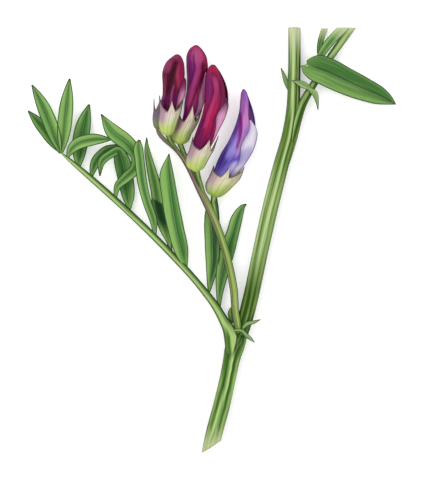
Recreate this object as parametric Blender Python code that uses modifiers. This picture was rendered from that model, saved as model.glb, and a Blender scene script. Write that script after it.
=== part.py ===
"""Vetch sprig: a cut stem, a compound leaf and a raceme of florets, lying on a flat surface.

Units are metres, +Z is up. The sprig lies in the XY plane with its growing direction along +Y.
Places on the sprig are given on a drawing sheet, x to the right and y down, and at() turns
them into metres, so that the whole sprig follows SPRIG_LENGTH.
"""
import math

import bmesh
import bpy
import numpy as np
from mathutils import Vector

# Driving dimensions
SPRIG_LENGTH = 0.0896
BLADE_THICKNESS = 0.0006
CALYX_WALL = 0.0006
PETAL_THICKNESS = 0.0006
GAP = 0.0003
MM = 0.001

# The sheet: its unit, and the place that lies over the origin
SHEET_LENGTH = 426.5
UNIT = SPRIG_LENGTH / SHEET_LENGTH
SHEET_X = 212.0
SHEET_Y = 240.3

# Fineness of the meshes
LEAF_ROWS = 9
TIP_HALF = 0.9
LEAF_COLUMNS = 4
CALYX_TEETH = 5
TOOTH_TURN = math.radians(-32)
TOOTH_FLARE = 0.16
CALYX_COLUMNS = 5 * CALYX_TEETH
CALYX_ROWS = 6
CUP_SHARE = 0.72
PETAL_ROWS = 13
PETAL_ARC = 10
INNER_ROWS = 15
INNER_REACH = 0.72
INNER_COLUMNS = 12
TABLE_ROWS = 41
WELD = 1e-7

COLLECTION = "vetch_flower"
CUTTERS = "cutters"

LEAF_GREEN = (0.13, 0.33, 0.09)
STEM_GREEN = (0.16, 0.34, 0.07)
STIPULE_GREEN = (0.24, 0.43, 0.12)
STALK_MAUVE = (0.27, 0.25, 0.14)
CALYX_CREAM = (0.56, 0.55, 0.33)
CALYX_MAUVE = (0.30, 0.27, 0.25)
MAGENTA = (0.26, 0.015, 0.08)
VIOLET = (0.16, 0.08, 0.42)
WING_PINK = (0.68, 0.36, 0.55)
WING_LILAC = (0.72, 0.66, 0.86)
BUD_PURPLE = (0.22, 0.08, 0.18)


def at(x, y, z_mm):
    """The place in metres of a sheet point at a height in millimetres."""
    return Vector(((x - SHEET_X) * UNIT, (SHEET_Y - y) * UNIT, z_mm * MM))


def smooth_path(rows, count):
    """Catmull-Rom curve through rows of numbers, read at count even steps of chord length."""
    rows = np.array(rows, dtype=float)
    steps = np.linalg.norm(np.diff(rows[:, :2], axis=0), axis=1)
    knots = np.concatenate([[0.0], np.cumsum(steps)])
    knots /= knots[-1]
    slopes = np.gradient(rows, knots, axis=0)
    out = []
    for t in np.linspace(0.0, 1.0, count):
        k = min(int(np.searchsorted(knots, t, side="right")) - 1, len(knots) - 2)
        span = knots[k + 1] - knots[k]
        s = (t - knots[k]) / span
        h00 = (1 + 2 * s) * (1 - s) ** 2
        h10 = s * (1 - s) ** 2
        h01 = s * s * (3 - 2 * s)
        h11 = s * s * (s - 1)
        pull = span * (h10 * slopes[k] + h11 * slopes[k + 1])
        out.append(h00 * rows[k] + h01 * rows[k + 1] + pull)
    return np.array(out)


def clear_scene():
    """Removes what the new file holds, so that only the sprig is left."""
    for item in list(bpy.data.objects):
        bpy.data.objects.remove(item, do_unlink=True)


def new_collection(name):
    """A collection of that name in the scene."""
    collection = bpy.data.collections.new(name)
    bpy.context.scene.collection.children.link(collection)
    return collection


def new_material(name, colour, roughness):
    """A Principled material of one colour."""
    material = bpy.data.materials.new(name)
    material.use_nodes = True
    shader = material.node_tree.nodes["Principled BSDF"]
    shader.inputs["Base Color"].default_value = (*colour, 1.0)
    shader.inputs["Roughness"].default_value = roughness
    shader.inputs["Metallic"].default_value = 0.0
    return material


def mesh_object(name, mesh, collection, material):
    """An object of a mesh, smooth shaded, with its material."""
    item = bpy.data.objects.new(name, mesh)
    collection.objects.link(item)
    mesh.materials.clear()
    mesh.materials.append(material)
    mesh.shade_smooth()
    mesh.set_sharp_from_angle(angle=math.radians(50))
    return item


def evaluated_mesh(item):
    """The mesh of an object as its modifiers and curve settings make it."""
    bpy.context.view_layer.update()
    graph = bpy.context.evaluated_depsgraph_get()
    return bpy.data.meshes.new_from_object(item.evaluated_get(graph))


def apply_modifiers(item):
    """Bakes an object's modifiers into its mesh."""
    mesh = evaluated_mesh(item)
    item.modifiers.clear()
    item.data = mesh


def grid_mesh(name, rows, columns, place, closed=False):
    """A grid bent by place(u, v), u across and v along, both from 0 to 1, all triangles.

    With closed the edges u = 0 and u = 1 meet and are welded.
    """
    mesh = bpy.data.meshes.new(name)
    body = bmesh.new()
    bmesh.ops.create_grid(body, x_segments=columns, y_segments=rows, size=1.0)
    for vert in body.verts:
        vert.co = place((vert.co.x + 1) / 2, (vert.co.y + 1) / 2)
    if closed:
        bmesh.ops.remove_doubles(body, verts=body.verts, dist=WELD)
    bmesh.ops.triangulate(body, faces=body.faces)
    body.to_mesh(mesh)
    body.free()
    return mesh


def thicken(item, thickness, offset):
    """Makes a surface a closed wall with Solidify, and applies it."""
    wall = item.modifiers.new("wall", "SOLIDIFY")
    wall.thickness = thickness
    wall.offset = offset
    apply_modifiers(item)


def drop_scraps(mesh):
    """Keeps the largest connected body of a mesh."""
    body = bmesh.new()
    body.from_mesh(mesh)
    left = set(body.verts)
    groups = []
    while left:
        edge = [left.pop()]
        group = set(edge)
        while edge:
            for link in edge.pop().link_edges:
                for vert in link.verts:
                    if vert in left:
                        left.discard(vert)
                        group.add(vert)
                        edge.append(vert)
        groups.append(group)
    largest = max(groups, key=len)
    scraps = [vert for vert in body.verts if vert not in largest]
    bmesh.ops.delete(body, geom=scraps, context="VERTS")
    body.to_mesh(mesh)
    body.free()


def fuse(body, parts):
    """One Boolean union of parts with body, whose objects are then removed."""
    tool = new_collection(body.name + "_parts")
    for part in parts:
        for home in list(part.users_collection):
            home.objects.unlink(part)
        tool.objects.link(part)
    union = body.modifiers.new("union", "BOOLEAN")
    union.operation = "UNION"
    union.operand_type = "COLLECTION"
    union.collection = tool
    union.solver = "MANIFOLD"
    apply_modifiers(body)
    drop_scraps(body.data)
    for part in parts:
        bpy.data.objects.remove(part, do_unlink=True)
    bpy.data.collections.remove(tool)


def cut_below_surface(item, cutters):
    """Trims what would reach under the surface the sprig lies on, leaving a flat spot."""
    depth = 0.01
    bpy.ops.mesh.primitive_cube_add(size=1.0, location=(0.0, 0.0, -depth / 2))
    box = bpy.context.active_object
    box.name = item.name + "_floor_cut"
    box.scale = (0.2, 0.2, depth)
    hide_cutter(box, cutters)
    subtract(item, box)


def hide_cutter(item, cutters):
    """Keeps a cutter out of the model."""
    for home in list(item.users_collection):
        home.objects.unlink(item)
    cutters.objects.link(item)
    item.hide_render = True
    item.display_type = "WIRE"


def subtract(item, cutter):
    """Cuts one object out of another and applies the cut."""
    cut = item.modifiers.new("cut", "BOOLEAN")
    cut.operation = "DIFFERENCE"
    cut.object = cutter
    cut.solver = "EXACT"
    apply_modifiers(item)


def tube(name, path, material, collection, count=14, resolution=2, profile=None):
    """A tapered stalk along rows of (x, y, z in mm, half width on the sheet), as a mesh."""
    rows = smooth_path(path, count)
    curve = bpy.data.curves.new(name, "CURVE")
    curve.dimensions = "3D"
    curve.twist_mode = "Z_UP"
    curve.bevel_resolution = resolution
    curve.use_fill_caps = True
    if profile is None:
        curve.bevel_depth = UNIT
    else:
        curve.bevel_mode = "OBJECT"
        curve.bevel_object = profile
    spline = curve.splines.new("POLY")
    spline.points.add(count - 1)
    for point, (x, y, z, half) in zip(spline.points, rows):
        point.co = (*at(x, y, z), 1.0)
        point.radius = half
    stalk = bpy.data.objects.new(name + "_curve", curve)
    collection.objects.link(stalk)
    mesh = evaluated_mesh(stalk)
    body = bmesh.new()
    body.from_mesh(mesh)
    bmesh.ops.remove_doubles(body, verts=body.verts, dist=WELD)
    bmesh.ops.recalc_face_normals(body, faces=body.faces)
    body.to_mesh(mesh)
    body.free()
    item = mesh_object(name, mesh, collection, material)
    item.matrix_world = stalk.matrix_world
    bpy.data.objects.remove(stalk, do_unlink=True)
    return item


def ridged_profile(ridges, depth, cutters):
    """A closed section of unit radius with that many ridges, as a hidden guide curve."""
    curve = bpy.data.curves.new("ridged_section", "CURVE")
    curve.dimensions = "2D"
    spline = curve.splines.new("POLY")
    spline.use_cyclic_u = True
    sides = ridges * 2
    spline.points.add(sides - 1)
    for k, point in enumerate(spline.points):
        turn = 2 * math.pi * (k + 0.5) / sides
        reach = UNIT * (1.0 if k % 2 else 1.0 - depth)
        point.co = (reach * math.cos(turn), reach * math.sin(turn), 0.0, 1.0)
    guide = bpy.data.objects.new("ridged_section", curve)
    cutters.objects.link(guide)
    guide.hide_render = True
    guide.display_type = "WIRE"
    return guide


def blade(name, stations, material, collection, lift=0.5, rows=LEAF_ROWS, columns=LEAF_COLUMNS):
    """A leaf blade folded into a shallow V along its midrib.

    A station is (x, y, z in mm, left half width, right half width) on the sheet. lift is how
    far the edges stand above the midrib, as a share of their half width.
    """
    table = smooth_path(stations, TABLE_ROWS)
    places = [at(x, y, z) for x, y, z, _, _ in table]

    def place(u, v):
        where = v * (len(table) - 1)
        k = min(int(where), len(table) - 2)
        share = where - k
        middle = places[k].lerp(places[k + 1], share)
        run = places[k + 1] - places[k]
        side = Vector((-run.y, run.x, 0.0)).normalized()
        left, right = (table[k][3:5] * (1 - share) + table[k + 1][3:5] * share)
        across = 1 - 2 * u
        half = max(left if across > 0 else right, TIP_HALF) * UNIT
        reach = side * (half * across)
        rise = Vector((0.0, 0.0, half * abs(across) * lift))
        return middle + reach + rise

    mesh = grid_mesh(name, rows, columns, place)
    item = mesh_object(name, mesh, collection, material)
    thicken(item, BLADE_THICKNESS, 0.0)
    return item


def leaf_stations(path, half, ends=(0.22, 0.12)):
    """Stations of a plain leaflet: narrow at its foot, full along its middle, tapered to a tip."""
    fine = smooth_path(path, 7)
    shares = (ends[0], 0.72, 0.98, 1.0, 0.92, 0.62, ends[1])
    return [(x, y, z, half * share, half * share) for (x, y, z), share in zip(fine, shares)]


# The compound leaf. A plain leaflet is its midrib from foot to tip and its half width.
RACHIS = [
    (223.0, 317.0, 1.9, 3.9),
    (200.0, 286.0, 1.7, 3.3),
    (170.0, 253.0, 1.7, 2.8),
    (130.0, 213.5, 1.6, 2.4),
    (90.0, 177.5, 1.3, 2.0),
    (60.5, 152.5, 1.1, 1.7),
]
PLAIN_LEAFLETS = {
    "end_left": ([(60, 152, 0.9), (44, 129.5, 0.5), (27, 110, 0.35)], 6.2),
    "end_upper": ([(60, 153, 1.3), (50.5, 124, 2.2), (40.5, 101, 2.4), (31.5, 84.5, 2.2)], 7.0),
    "end_right": ([(61, 152.5, 1.4), (64.4, 125, 2.1), (67.4, 96, 2.2), (69.3, 78, 1.8)], 7.2),
    "second_dark": ([(78, 167, 1.0), (79.3, 145, 0.7), (83.5, 122, 0.6), (88.5, 103.5, 0.6)], 8.0),
    "second_side": ([(67, 157, 1.4), (73, 147, 2.4), (88, 140.5, 2.9), (112, 139, 2.0)], 6.2),
    "third_dark": ([(91, 177, 1.3), (94.5, 163, 1.2), (104, 151.5, 0.9), (121, 144, 0.8)], 5.0),
    "hidden_pale": ([(209, 292, 1.3), (211.5, 270, 0.7), (212.5, 240, 0.45), (213, 199, 0.4)], 7.6),
    "lowest": ([(219, 309, 1.5), (224.5, 272, 0.7), (230.5, 240, 0.45), (246.5, 204.5, 0.4)], 7.8),
}
# A bent leaflet gives its left and right half widths at each station.
BENT_LEAFLETS = {
    "drooping_back": [
        (129, 210, 1.4, 1.5, 1.5),
        (128, 197, 0.9, 6.0, 6.0),
        (124.5, 175, 0.7, 8.0, 8.0),
        (121, 158, 1.6, 7.6, 7.6),
        (118.5, 151.2, 3.0, 5.0, 5.0),
        (110, 155, 4.2, 4.2, 4.2),
        (102.5, 161, 4.0, 4.0, 4.0),
        (99.8, 176, 3.0, 0.9, 0.9),
    ],
    "curled_front": [
        (115, 198, 1.5, 1.5, 1.5),
        (117.5, 186, 2.2, 3.6, 3.6),
        (126, 177.5, 2.3, 5.2, 5.2),
        (135, 168.5, 2.1, 5.6, 5.6),
        (137, 157, 2.2, 6.2, 6.2),
        (130, 146, 2.8, 7.4, 7.4),
        (112, 130.5, 3.2, 7.2, 7.2),
        (101, 114, 2.8, 0.9, 0.9),
    ],
    "upright_folded": [
        (155, 236, 1.6, 1.4, 1.4),
        (153.5, 221, 2.8, 3.8, 3.8),
        (147.5, 203, 4.0, 4.4, 4.4),
        (143, 185, 4.3, 4.8, 4.8),
        (139.5, 160, 4.4, 4.8, 4.8),
        (138, 141, 3.8, 2.6, 2.6),
    ],
    "twisted_dark": [
        (170, 251, 1.5, 1.5, 1.5),
        (167, 236, 0.8, 4.6, 4.6),
        (160.5, 216, 0.55, 6.0, 6.0),
        (155.5, 195, 0.7, 5.0, 5.0),
        (151, 174, 1.3, 3.8, 3.8),
        (147.3, 155, 1.8, 3.2, 3.2),
        (145.5, 137, 1.8, 1.2, 1.2),
    ],
    "front_large": [
        (186, 269, 1.6, 1.4, 1.4),
        (181.5, 252, 2.6, 6.6, 7.0),
        (176, 228, 3.3, 8.4, 8.0),
        (171, 196, 3.4, 9.4, 6.2),
        (168.3, 172, 3.0, 8.0, 4.8),
        (169, 153.5, 2.4, 0.9, 0.9),
    ],
}

# The upper leaf
UPPER_STALK = [
    (310.5, 89.0, 2.0, 3.6),
    (315.0, 81.5, 1.9, 3.5),
    (322.0, 69.5, 1.7, 3.5),
    (330.5, 57.0, 1.5, 3.6),
    (342.0, 40.5, 1.2, 3.7),
    (357.0, 19.0, 0.95, 3.7),
]
UPPER_LEAFLETS = {
    "whole": [
        (303.5, 64.5, 3.3, 3.0, 3.0),
        (310, 67.0, 3.3, 11.5, 11.0),
        (325, 72.0, 3.2, 14.2, 14.0),
        (345, 80.7, 2.5, 13.4, 13.6),
        (366, 89.7, 1.6, 11.2, 11.0),
        (384, 97.0, 0.9, 7.6, 6.8),
        (397, 103.5, 0.5, 0.9, 0.9),
    ],
    "cut_front": [
        (324, 66, 2.2, 1.6, 1.6),
        (321, 56, 2.6, 3.4, 3.4),
        (326, 47, 2.7, 4.4, 4.4),
        (335, 36, 2.6, 4.6, 4.6),
        (350.5, 20.0, 2.3, 4.6, 4.6),
    ],
    "cut_back": [
        (324, 64, 1.2, 1.6, 1.6),
        (319.7, 51, 0.9, 2.2, 2.2),
        (321.5, 39, 0.7, 3.0, 3.0),
        (328.0, 20.0, 0.7, 3.4, 3.4),
    ],
}
UPPER_FOOT = [(321, 71.5, 1.7, 1.6), (314, 68.5, 2.6, 1.6), (307, 65.5, 3.3, 1.6)]

# The main stem and what grows out of it
STEM = [
    (206.5, 462.0, 1.72, 7.9),
    (213.2, 437.0, 1.72, 8.0),
    (221.5, 405.0, 1.72, 8.0),
    (229.4, 372.0, 1.72, 8.0),
    (236.0, 345.0, 1.8, 8.5),
    (240.5, 332.0, 1.85, 8.7),
    (245.3, 318.0, 1.7, 7.3),
    (250.5, 298.0, 1.65, 7.0),
    (260.8, 250.0, 1.65, 7.1),
    (272.0, 200.0, 1.6, 7.3),
    (281.5, 162.0, 1.5, 7.0),
    (288.5, 136.0, 1.45, 6.7),
    (292.6, 110.0, 1.4, 6.5),
    (294.3, 75.0, 1.35, 6.4),
    (294.6, 20.0, 1.35, 6.3),
]
LEAF_BASE = [(237.5, 347, 1.8, 5.0), (231.5, 331, 1.9, 5.0), (225.0, 320.0, 1.9, 4.0)]
PEDUNCLE_BASE = [(240.0, 340, 2.0, 4.0), (238.0, 328, 2.7, 4.1), (236.6, 318.0, 2.95, 3.9)]
UPPER_LEAF_BASE = [(291, 140, 1.5, 4.0), (300.0, 112, 1.7, 4.0), (309.0, 91.8, 2.0, 3.7)]
STEM_RIDGES = 6
RIDGE_DEPTH = 0.09
STEM_CUT = ((201.0, 453.5), (222.0, 440.0))
TOP_CUT = ((420.0, 27.2), (270.0, 27.2))
CUT_BOX = 0.04

PEDUNCLE = [
    (235.9, 315.5, 3.0, 3.8),
    (233.8, 290.0, 2.9, 3.8),
    (228.0, 263.0, 2.9, 3.6),
    (218.0, 228.0, 2.9, 3.3),
    (205.5, 198.0, 2.7, 2.7),
    (190.0, 166.0, 2.3, 2.3),
    (177.0, 150.0, 2.1, 1.9),
    (163.0, 138.5, 1.8, 1.6),
    (155.5, 131.8, 1.6, 1.4),
]
PEDICELS = {
    "first": [(175, 148.5, 2.1, 1.8), (171.5, 143.5, 3.6, 1.8), (168.6, 139.3, 4.7, 1.9)],
    "second": [(187, 161.5, 2.3, 2.0), (183.5, 154, 2.5, 2.1), (180.9, 147.8, 2.7, 2.4)],
    "third": [(202.5, 191, 2.6, 2.2), (200, 182.5, 3.6, 2.3), (197.0, 174.8, 4.6, 2.5)],
    "fourth": [(213.0, 214, 2.8, 2.6), (213.6, 206, 2.4, 2.7), (214.6, 200.2, 2.2, 2.9)],
}

AXILLARY_BUD = [
    (232.4, 323.5, 1.0, 1.2),
    (231.0, 318.5, 1.0, 2.4),
    (230.2, 312.5, 1.0, 2.3),
    (230.8, 307.5, 1.0, 0.6),
]
STIPULES = {
    "stipule_lower_upper": [(243, 327.5, 4.0, 1.6, 1.6), (247.5, 323.6, 4.0, 2.1, 2.1),
                            (254, 322.0, 3.6, 1.9, 1.9), (260.5, 319.5, 3.0, 0.9, 0.9)],
    "stipule_lower_side": [(242.5, 333.8, 4.1, 1.6, 1.6), (246.5, 336.5, 3.9, 1.9, 1.9),
                           (250.5, 339.0, 3.3, 1.7, 1.7), (254.5, 342.5, 2.6, 0.9, 0.9)],
    "stipule_upper_left": [(285.7, 79.5, 0.9, 2.2, 2.2), (284.6, 75, 0.9, 2.3, 2.3),
                           (281.3, 67, 0.9, 0.9, 0.9)],
    "stipule_upper_front": [(307.0, 85.3, 3.4, 2.6, 2.8), (301.5, 83.8, 3.5, 3.0, 3.0),
                            (296.5, 82.3, 3.5, 2.2, 2.2), (292, 80.8, 3.5, 0.9, 0.9)],
    "stipule_upper_right": [(312.0, 90.8, 3.4, 2.4, 2.4), (315.4, 95.0, 3.1, 2.6, 2.6),
                            (317.1, 101, 2.6, 1.9, 1.9), (318.4, 110.2, 2.0, 0.9, 0.9)],
}


class Floret:
    """The readings of one floret.

    A calyx row is (left x, left y, right x, right y, half depth in mm). A petal row adds the
    share of the width that the near and the far margin of the standard reach. teeth are the
    five tooth heights and sinuses the notch height between them, in sheet units above the
    calyx's last row, from the near right tooth round by the left.
    """

    def __init__(self, middle, calyx, teeth, petals):
        self.middle = middle
        self.calyx = calyx
        self.teeth = teeth
        self.petals = petals


FLORETS = {
    1: Floret(5.25, [
        (167.2, 136.6, 168.8, 136.6, 0.15), (162.4, 133.8, 172.6, 134.4, 1.1),
        (158.8, 126.5, 176.6, 127.0, 1.75), (159.0, 119.0, 179.6, 117.8, 1.85),
        (160.0, 113.5, 181.6, 111.5, 1.85)],
        (12.0, 11.5, 9.0, 9.0, 10.0), [
        (164.6, 128.5, 171.4, 129.0, 0.80, 0.90, 0.80), (163.9, 119.5, 175.0, 120.0, 0.95, 0.88, 0.75),
        (164.3, 110.0, 177.8, 110.5, 1.15, 0.84, 0.75), (163.0, 98.0, 184.5, 99.0, 1.50, 0.70, 0.80),
        (162.8, 85.0, 186.5, 85.0, 1.85, 0.82, 0.85), (162.6, 73.0, 186.0, 75.0, 1.75, 0.95, 0.95),
        (166.0, 63.5, 185.0, 65.0, 1.40, 0.95, 0.95), (172.0, 57.8, 182.0, 57.5, 0.90, 0.95, 0.95),
        (175.5, 55.4, 179.5, 55.4, 0.45, 0.95, 0.95)]),
    2: Floret(2.70, [
        (179.2, 145.4, 180.8, 145.4, 0.15), (172.6, 140.8, 187.6, 141.8, 1.2),
        (171.4, 132.6, 192.0, 133.4, 1.80), (174.2, 127.0, 196.0, 127.0, 1.90),
        (177.0, 122.0, 199.0, 121.0, 1.90)],
        (16.0, 12.0, 9.0, 9.0, 14.0), [
        (177.6, 135.0, 185.0, 137.0, 0.85, 0.90, 0.80), (180.0, 126.5, 190.4, 128.0, 1.00, 0.88, 0.75),
        (182.4, 118.5, 195.4, 119.5, 1.20, 0.80, 0.75), (184.4, 107.0, 202.0, 109.0, 1.45, 0.74, 0.80),
        (186.2, 94.5, 206.0, 96.0, 1.80, 0.66, 0.85), (187.0, 80.0, 207.6, 80.0, 1.80, 0.80, 0.90),
        (186.3, 65.0, 209.0, 65.0, 1.65, 0.93, 0.95), (187.0, 53.5, 206.0, 53.5, 1.30, 0.95, 0.95),
        (190.5, 47.6, 201.5, 47.6, 0.80, 0.95, 0.95), (194.4, 45.0, 198.0, 45.0, 0.40, 0.95, 0.95)]),
    3: Floret(5.15, [
        (194.6, 172.0, 197.6, 172.6, 0.15), (187.4, 167.4, 203.0, 168.6, 1.2),
        (185.8, 158.6, 208.8, 159.6, 1.85), (187.6, 153.6, 211.2, 155.4, 1.95),
        (189.4, 149.6, 213.6, 151.8, 1.95)],
        (14.5, 14.0, 12.0, 12.0, 14.0), [
        (193.4, 161.0, 201.6, 163.0, 0.85, 0.95, 0.80), (194.6, 150.0, 208.0, 152.0, 1.10, 0.95, 0.75),
        (196.2, 140.0, 213.0, 143.0, 1.30, 0.93, 0.75), (198.8, 127.5, 219.0, 131.0, 1.65, 0.85, 0.80),
        (202.3, 114.5, 225.0, 119.0, 1.85, 0.64, 0.90), (205.0, 99.0, 229.0, 103.0, 1.85, 0.83, 0.97),
        (205.3, 85.0, 227.0, 86.0, 1.70, 0.86, 0.97), (206.0, 74.5, 221.5, 74.0, 1.30, 0.90, 0.97),
        (208.6, 68.3, 217.4, 68.0, 0.80, 0.93, 0.95), (211.2, 65.6, 214.8, 65.6, 0.40, 0.95, 0.95)]),
    4: Floret(2.15, [
        (213.4, 197.4, 216.4, 198.2, 0.15), (207.2, 191.6, 222.8, 195.6, 1.35),
        (205.4, 184.2, 231.6, 188.0, 2.10), (207.0, 180.0, 236.0, 183.6, 2.20),
        (209.6, 175.0, 240.0, 179.6, 2.15)],
        (12.5, 12.0, 11.0, 11.0, 12.0), [
        (212.6, 186.5, 222.6, 189.5, 0.85, 0.90, 0.80), (214.4, 177.5, 231.4, 183.0, 1.15, 0.80, 0.75),
        (217.0, 169.0, 237.0, 175.5, 1.40, 0.76, 0.75), (221.0, 154.5, 246.0, 163.0, 1.75, 0.74, 0.80),
        (228.5, 140.5, 254.5, 148.0, 1.85, 0.50, 0.85), (235.3, 125.0, 257.8, 130.0, 1.75, 0.64, 0.90),
        (239.0, 112.0, 254.8, 115.0, 1.45, 0.60, 0.96), (240.5, 98.5, 249.3, 99.5, 0.95, 0.85, 0.97),
        (241.8, 90.5, 245.2, 90.5, 0.45, 0.95, 0.95)]),
}
YOUNG_CALYX = [
    (156.4, 129.2, 158.0, 129.4, 0.12), (153.6, 126.6, 161.6, 127.4, 0.75),
    (152.2, 120.6, 166.2, 121.4, 1.15), (152.4, 113.6, 168.0, 114.0, 1.20),
    (152.9, 110.5, 168.6, 110.5, 1.20)]
YOUNG_TEETH = (7.0, 7.0, 13.0, 10.0, 9.0)
YOUNG_PETALS = [
    (157.4, 121.0, 161.4, 121.4, 0.40), (157.8, 113.0, 164.4, 113.4, 0.45),
    (159.6, 106.0, 165.6, 106.0, 0.45), (161.4, 97.0, 168.8, 97.0, 0.70),
    (164.0, 88.0, 169.4, 88.0, 0.45)]
YOUNG_MIDDLE = 1.55


def ring_point(row, turn, middle):
    """A point of an elliptic section. turn 0 is its left end, and +90 degrees its near side."""
    left = at(row[0], row[1], middle)
    right = at(row[2], row[3], middle)
    centre = (left + right) / 2
    half = (right - left) / 2
    depth = row[4] * MM * math.sin(turn)
    return centre - half * math.cos(turn) + Vector((0.0, 0.0, depth))


def inset(row, left, right, depth):
    """A section row moved inwards, by metres at the left end, right end and both faces."""
    run = np.array([row[2] - row[0], row[3] - row[1]])
    width = np.linalg.norm(run)
    least = 0.35
    total = (left + right) / UNIT
    share = min(1.0, max(width - least, 0.0) / total) if total > 0 else 1.0
    unit = run / width
    a = np.array(row[:2]) + unit * (left / UNIT) * share
    b = np.array(row[2:4]) - unit * (right / UNIT) * share
    deep = max(row[4] - depth / MM, 0.08)
    return [a[0], a[1], b[0], b[1], deep, *row[5:]]


def calyx(name, rows, teeth, middle, material, collection):
    """A cup with five pointed teeth, its wall grown inwards."""
    top = np.array(rows[-1][:5])
    axis = (np.array(rows[-1][:4]) - np.array(rows[-2][:4]))
    lean = (axis[:2] + axis[2:]) / 2
    lean /= np.linalg.norm(lean)
    across = np.array([-lean[1], lean[0]])
    body_rows = smooth_path(rows, 24)
    per_tooth = CALYX_COLUMNS // CALYX_TEETH

    def rim_height(column):
        tooth, step = divmod(column % CALYX_COLUMNS, per_tooth)
        peak = 1.0 - abs(step + 0.5 - per_tooth / 2) / (per_tooth / 2)
        return teeth[tooth] * max(peak, 0.0) ** 1.3

    def place(u, v):
        column = round(u * CALYX_COLUMNS)
        turn = math.pi + 2 * math.pi * u - TOOTH_TURN
        if v <= CUP_SHARE + WELD:
            where = (v / CUP_SHARE) * (len(body_rows) - 1)
            k = min(int(where), len(body_rows) - 2)
            share = where - k
            row = body_rows[k] * (1 - share) + body_rows[k + 1] * share
            return ring_point(row, turn, middle)
        rise = rim_height(column) * (v - CUP_SHARE) / (1 - CUP_SHARE)
        row = top.copy()
        spread = across * rise * TOOTH_FLARE
        row[:2] += lean * rise - spread
        row[2:4] += lean * rise + spread
        row[4] += rise * UNIT / MM * TOOTH_FLARE
        return ring_point(row, turn, middle)

    mesh = grid_mesh(name, CALYX_ROWS, CALYX_COLUMNS, place, closed=True)
    item = mesh_object(name, mesh, collection, material)
    thicken(item, CALYX_WALL, -1.0)
    return item


def loft(name, sections, material, collection):
    """A closed body through closed sections of equal count, with a face on each end."""
    mesh = bpy.data.meshes.new(name)
    body = bmesh.new()
    rings = [[body.verts.new(point) for point in section] for section in sections]
    count = len(rings[0])
    for lower, upper in zip(rings, rings[1:]):
        for k in range(count):
            after = (k + 1) % count
            body.faces.new((lower[k], lower[after], upper[after], upper[k]))
    body.faces.new(list(reversed(rings[0])))
    body.faces.new(rings[-1])
    bmesh.ops.triangulate(body, faces=body.faces)
    bmesh.ops.recalc_face_normals(body, faces=body.faces)
    body.to_mesh(mesh)
    body.free()
    return mesh_object(name, mesh, collection, material)


def standard(name, petals, middle, material, collection):
    """The standard petal: a sheet folded along the left side and open on the right."""
    sections = []
    for row in smooth_path(petals, PETAL_ROWS):
        inner = inset(row, PETAL_THICKNESS, -0.05 * MM, PETAL_THICKNESS)
        near = math.acos(1 - 2 * min(row[5], 0.97))
        far = -math.acos(1 - 2 * min(row[6], 0.97))
        turns = np.linspace(near, far, PETAL_ARC)
        outside = [ring_point(row, turn, middle) for turn in turns]
        inside = [ring_point(inner, turn, middle) for turn in reversed(turns)]
        sections.append(outside + inside)
    return loft(name, sections, material, collection)


def inner_petals(name, petals, middle, material, collection):
    """The wings on the keel: one slim body inside the standard that shows at its open side."""
    clear = PETAL_THICKNESS + GAP
    table = smooth_path(petals, TABLE_ROWS)
    picked = np.linspace(0, INNER_REACH * (TABLE_ROWS - 1), INNER_ROWS).astype(int)
    sections = []
    for row in table[picked]:
        slim = inset(row, clear, 0.0, clear)
        turns = np.linspace(0, 2 * math.pi, INNER_COLUMNS, endpoint=False)
        sections.append([ring_point(slim, turn, middle) for turn in turns])
    return loft(name, sections, material, collection)


def cut_off(item, line, cutters):
    """Cuts off what lies to the right of a sheet line, seen from its first point."""
    start = at(*line[0], 0.0)
    end = at(*line[1], 0.0)
    run = end - start
    aside = Vector((run.y, -run.x, 0.0)).normalized()
    middle = (start + end) / 2 + aside * CUT_BOX / 2
    bpy.ops.mesh.primitive_cube_add(size=CUT_BOX, location=middle)
    box = bpy.context.active_object
    box.name = item.name + "_end_cut"
    box.rotation_euler.z = math.atan2(run.y, run.x)
    hide_cutter(box, cutters)
    subtract(item, box)


def build_stem(collection, cutters):
    """The ridged main stem with the stalk bases that grow out of it."""
    material = new_material("stem_green", STEM_GREEN, 0.55)
    profile = ridged_profile(STEM_RIDGES, RIDGE_DEPTH, cutters)
    stem = tube("main_stem", STEM, material, collection, count=30, profile=profile)
    branches = [
        tube("leaf_base", LEAF_BASE, material, collection, count=6),
        tube("peduncle_base", PEDUNCLE_BASE, material, collection, count=6),
        tube("upper_leaf_base", UPPER_LEAF_BASE, material, collection, count=8),
    ]
    fuse(stem, branches)
    cut_off(stem, STEM_CUT, cutters)
    cut_off(stem, TOP_CUT, cutters)


def build_leaf(collection):
    """The compound leaf: its rachis with every leaflet fused on."""
    material = new_material("leaf_green", LEAF_GREEN, 0.6)
    rachis = tube("compound_leaf", RACHIS, material, collection, count=20)
    blades = []
    for name, (path, half) in PLAIN_LEAFLETS.items():
        blades.append(blade(name, leaf_stations(path, half), material, collection))
    for name, stations in BENT_LEAFLETS.items():
        rows = 11 if len(stations) < 8 else 14
        blades.append(blade(name, stations, material, collection, rows=rows, lift=0.35))
    fuse(rachis, blades)


def build_upper_leaf(collection, cutters):
    """The cut stalk of the upper leaf with its three leaflets."""
    material = new_material("upper_leaf_green", LEAF_GREEN, 0.6)
    stalk = tube("upper_leaf", UPPER_STALK, material, collection, count=10)
    parts = [tube("petiolule", UPPER_FOOT, material, collection, count=6)]
    for name, stations in UPPER_LEAFLETS.items():
        parts.append(blade(name, stations, material, collection, lift=0.1))
    fuse(stalk, parts)
    cut_off(stalk, TOP_CUT, cutters)


def build_peduncle(collection):
    """The flower stalk with its pedicels."""
    material = new_material("peduncle_green_mauve", STALK_MAUVE, 0.6)
    stalk = tube("peduncle", PEDUNCLE, material, collection, count=24)
    pedicels = []
    for name, path in PEDICELS.items():
        pedicels.append(tube(name, path, material, collection, count=6))
    fuse(stalk, pedicels)


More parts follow.
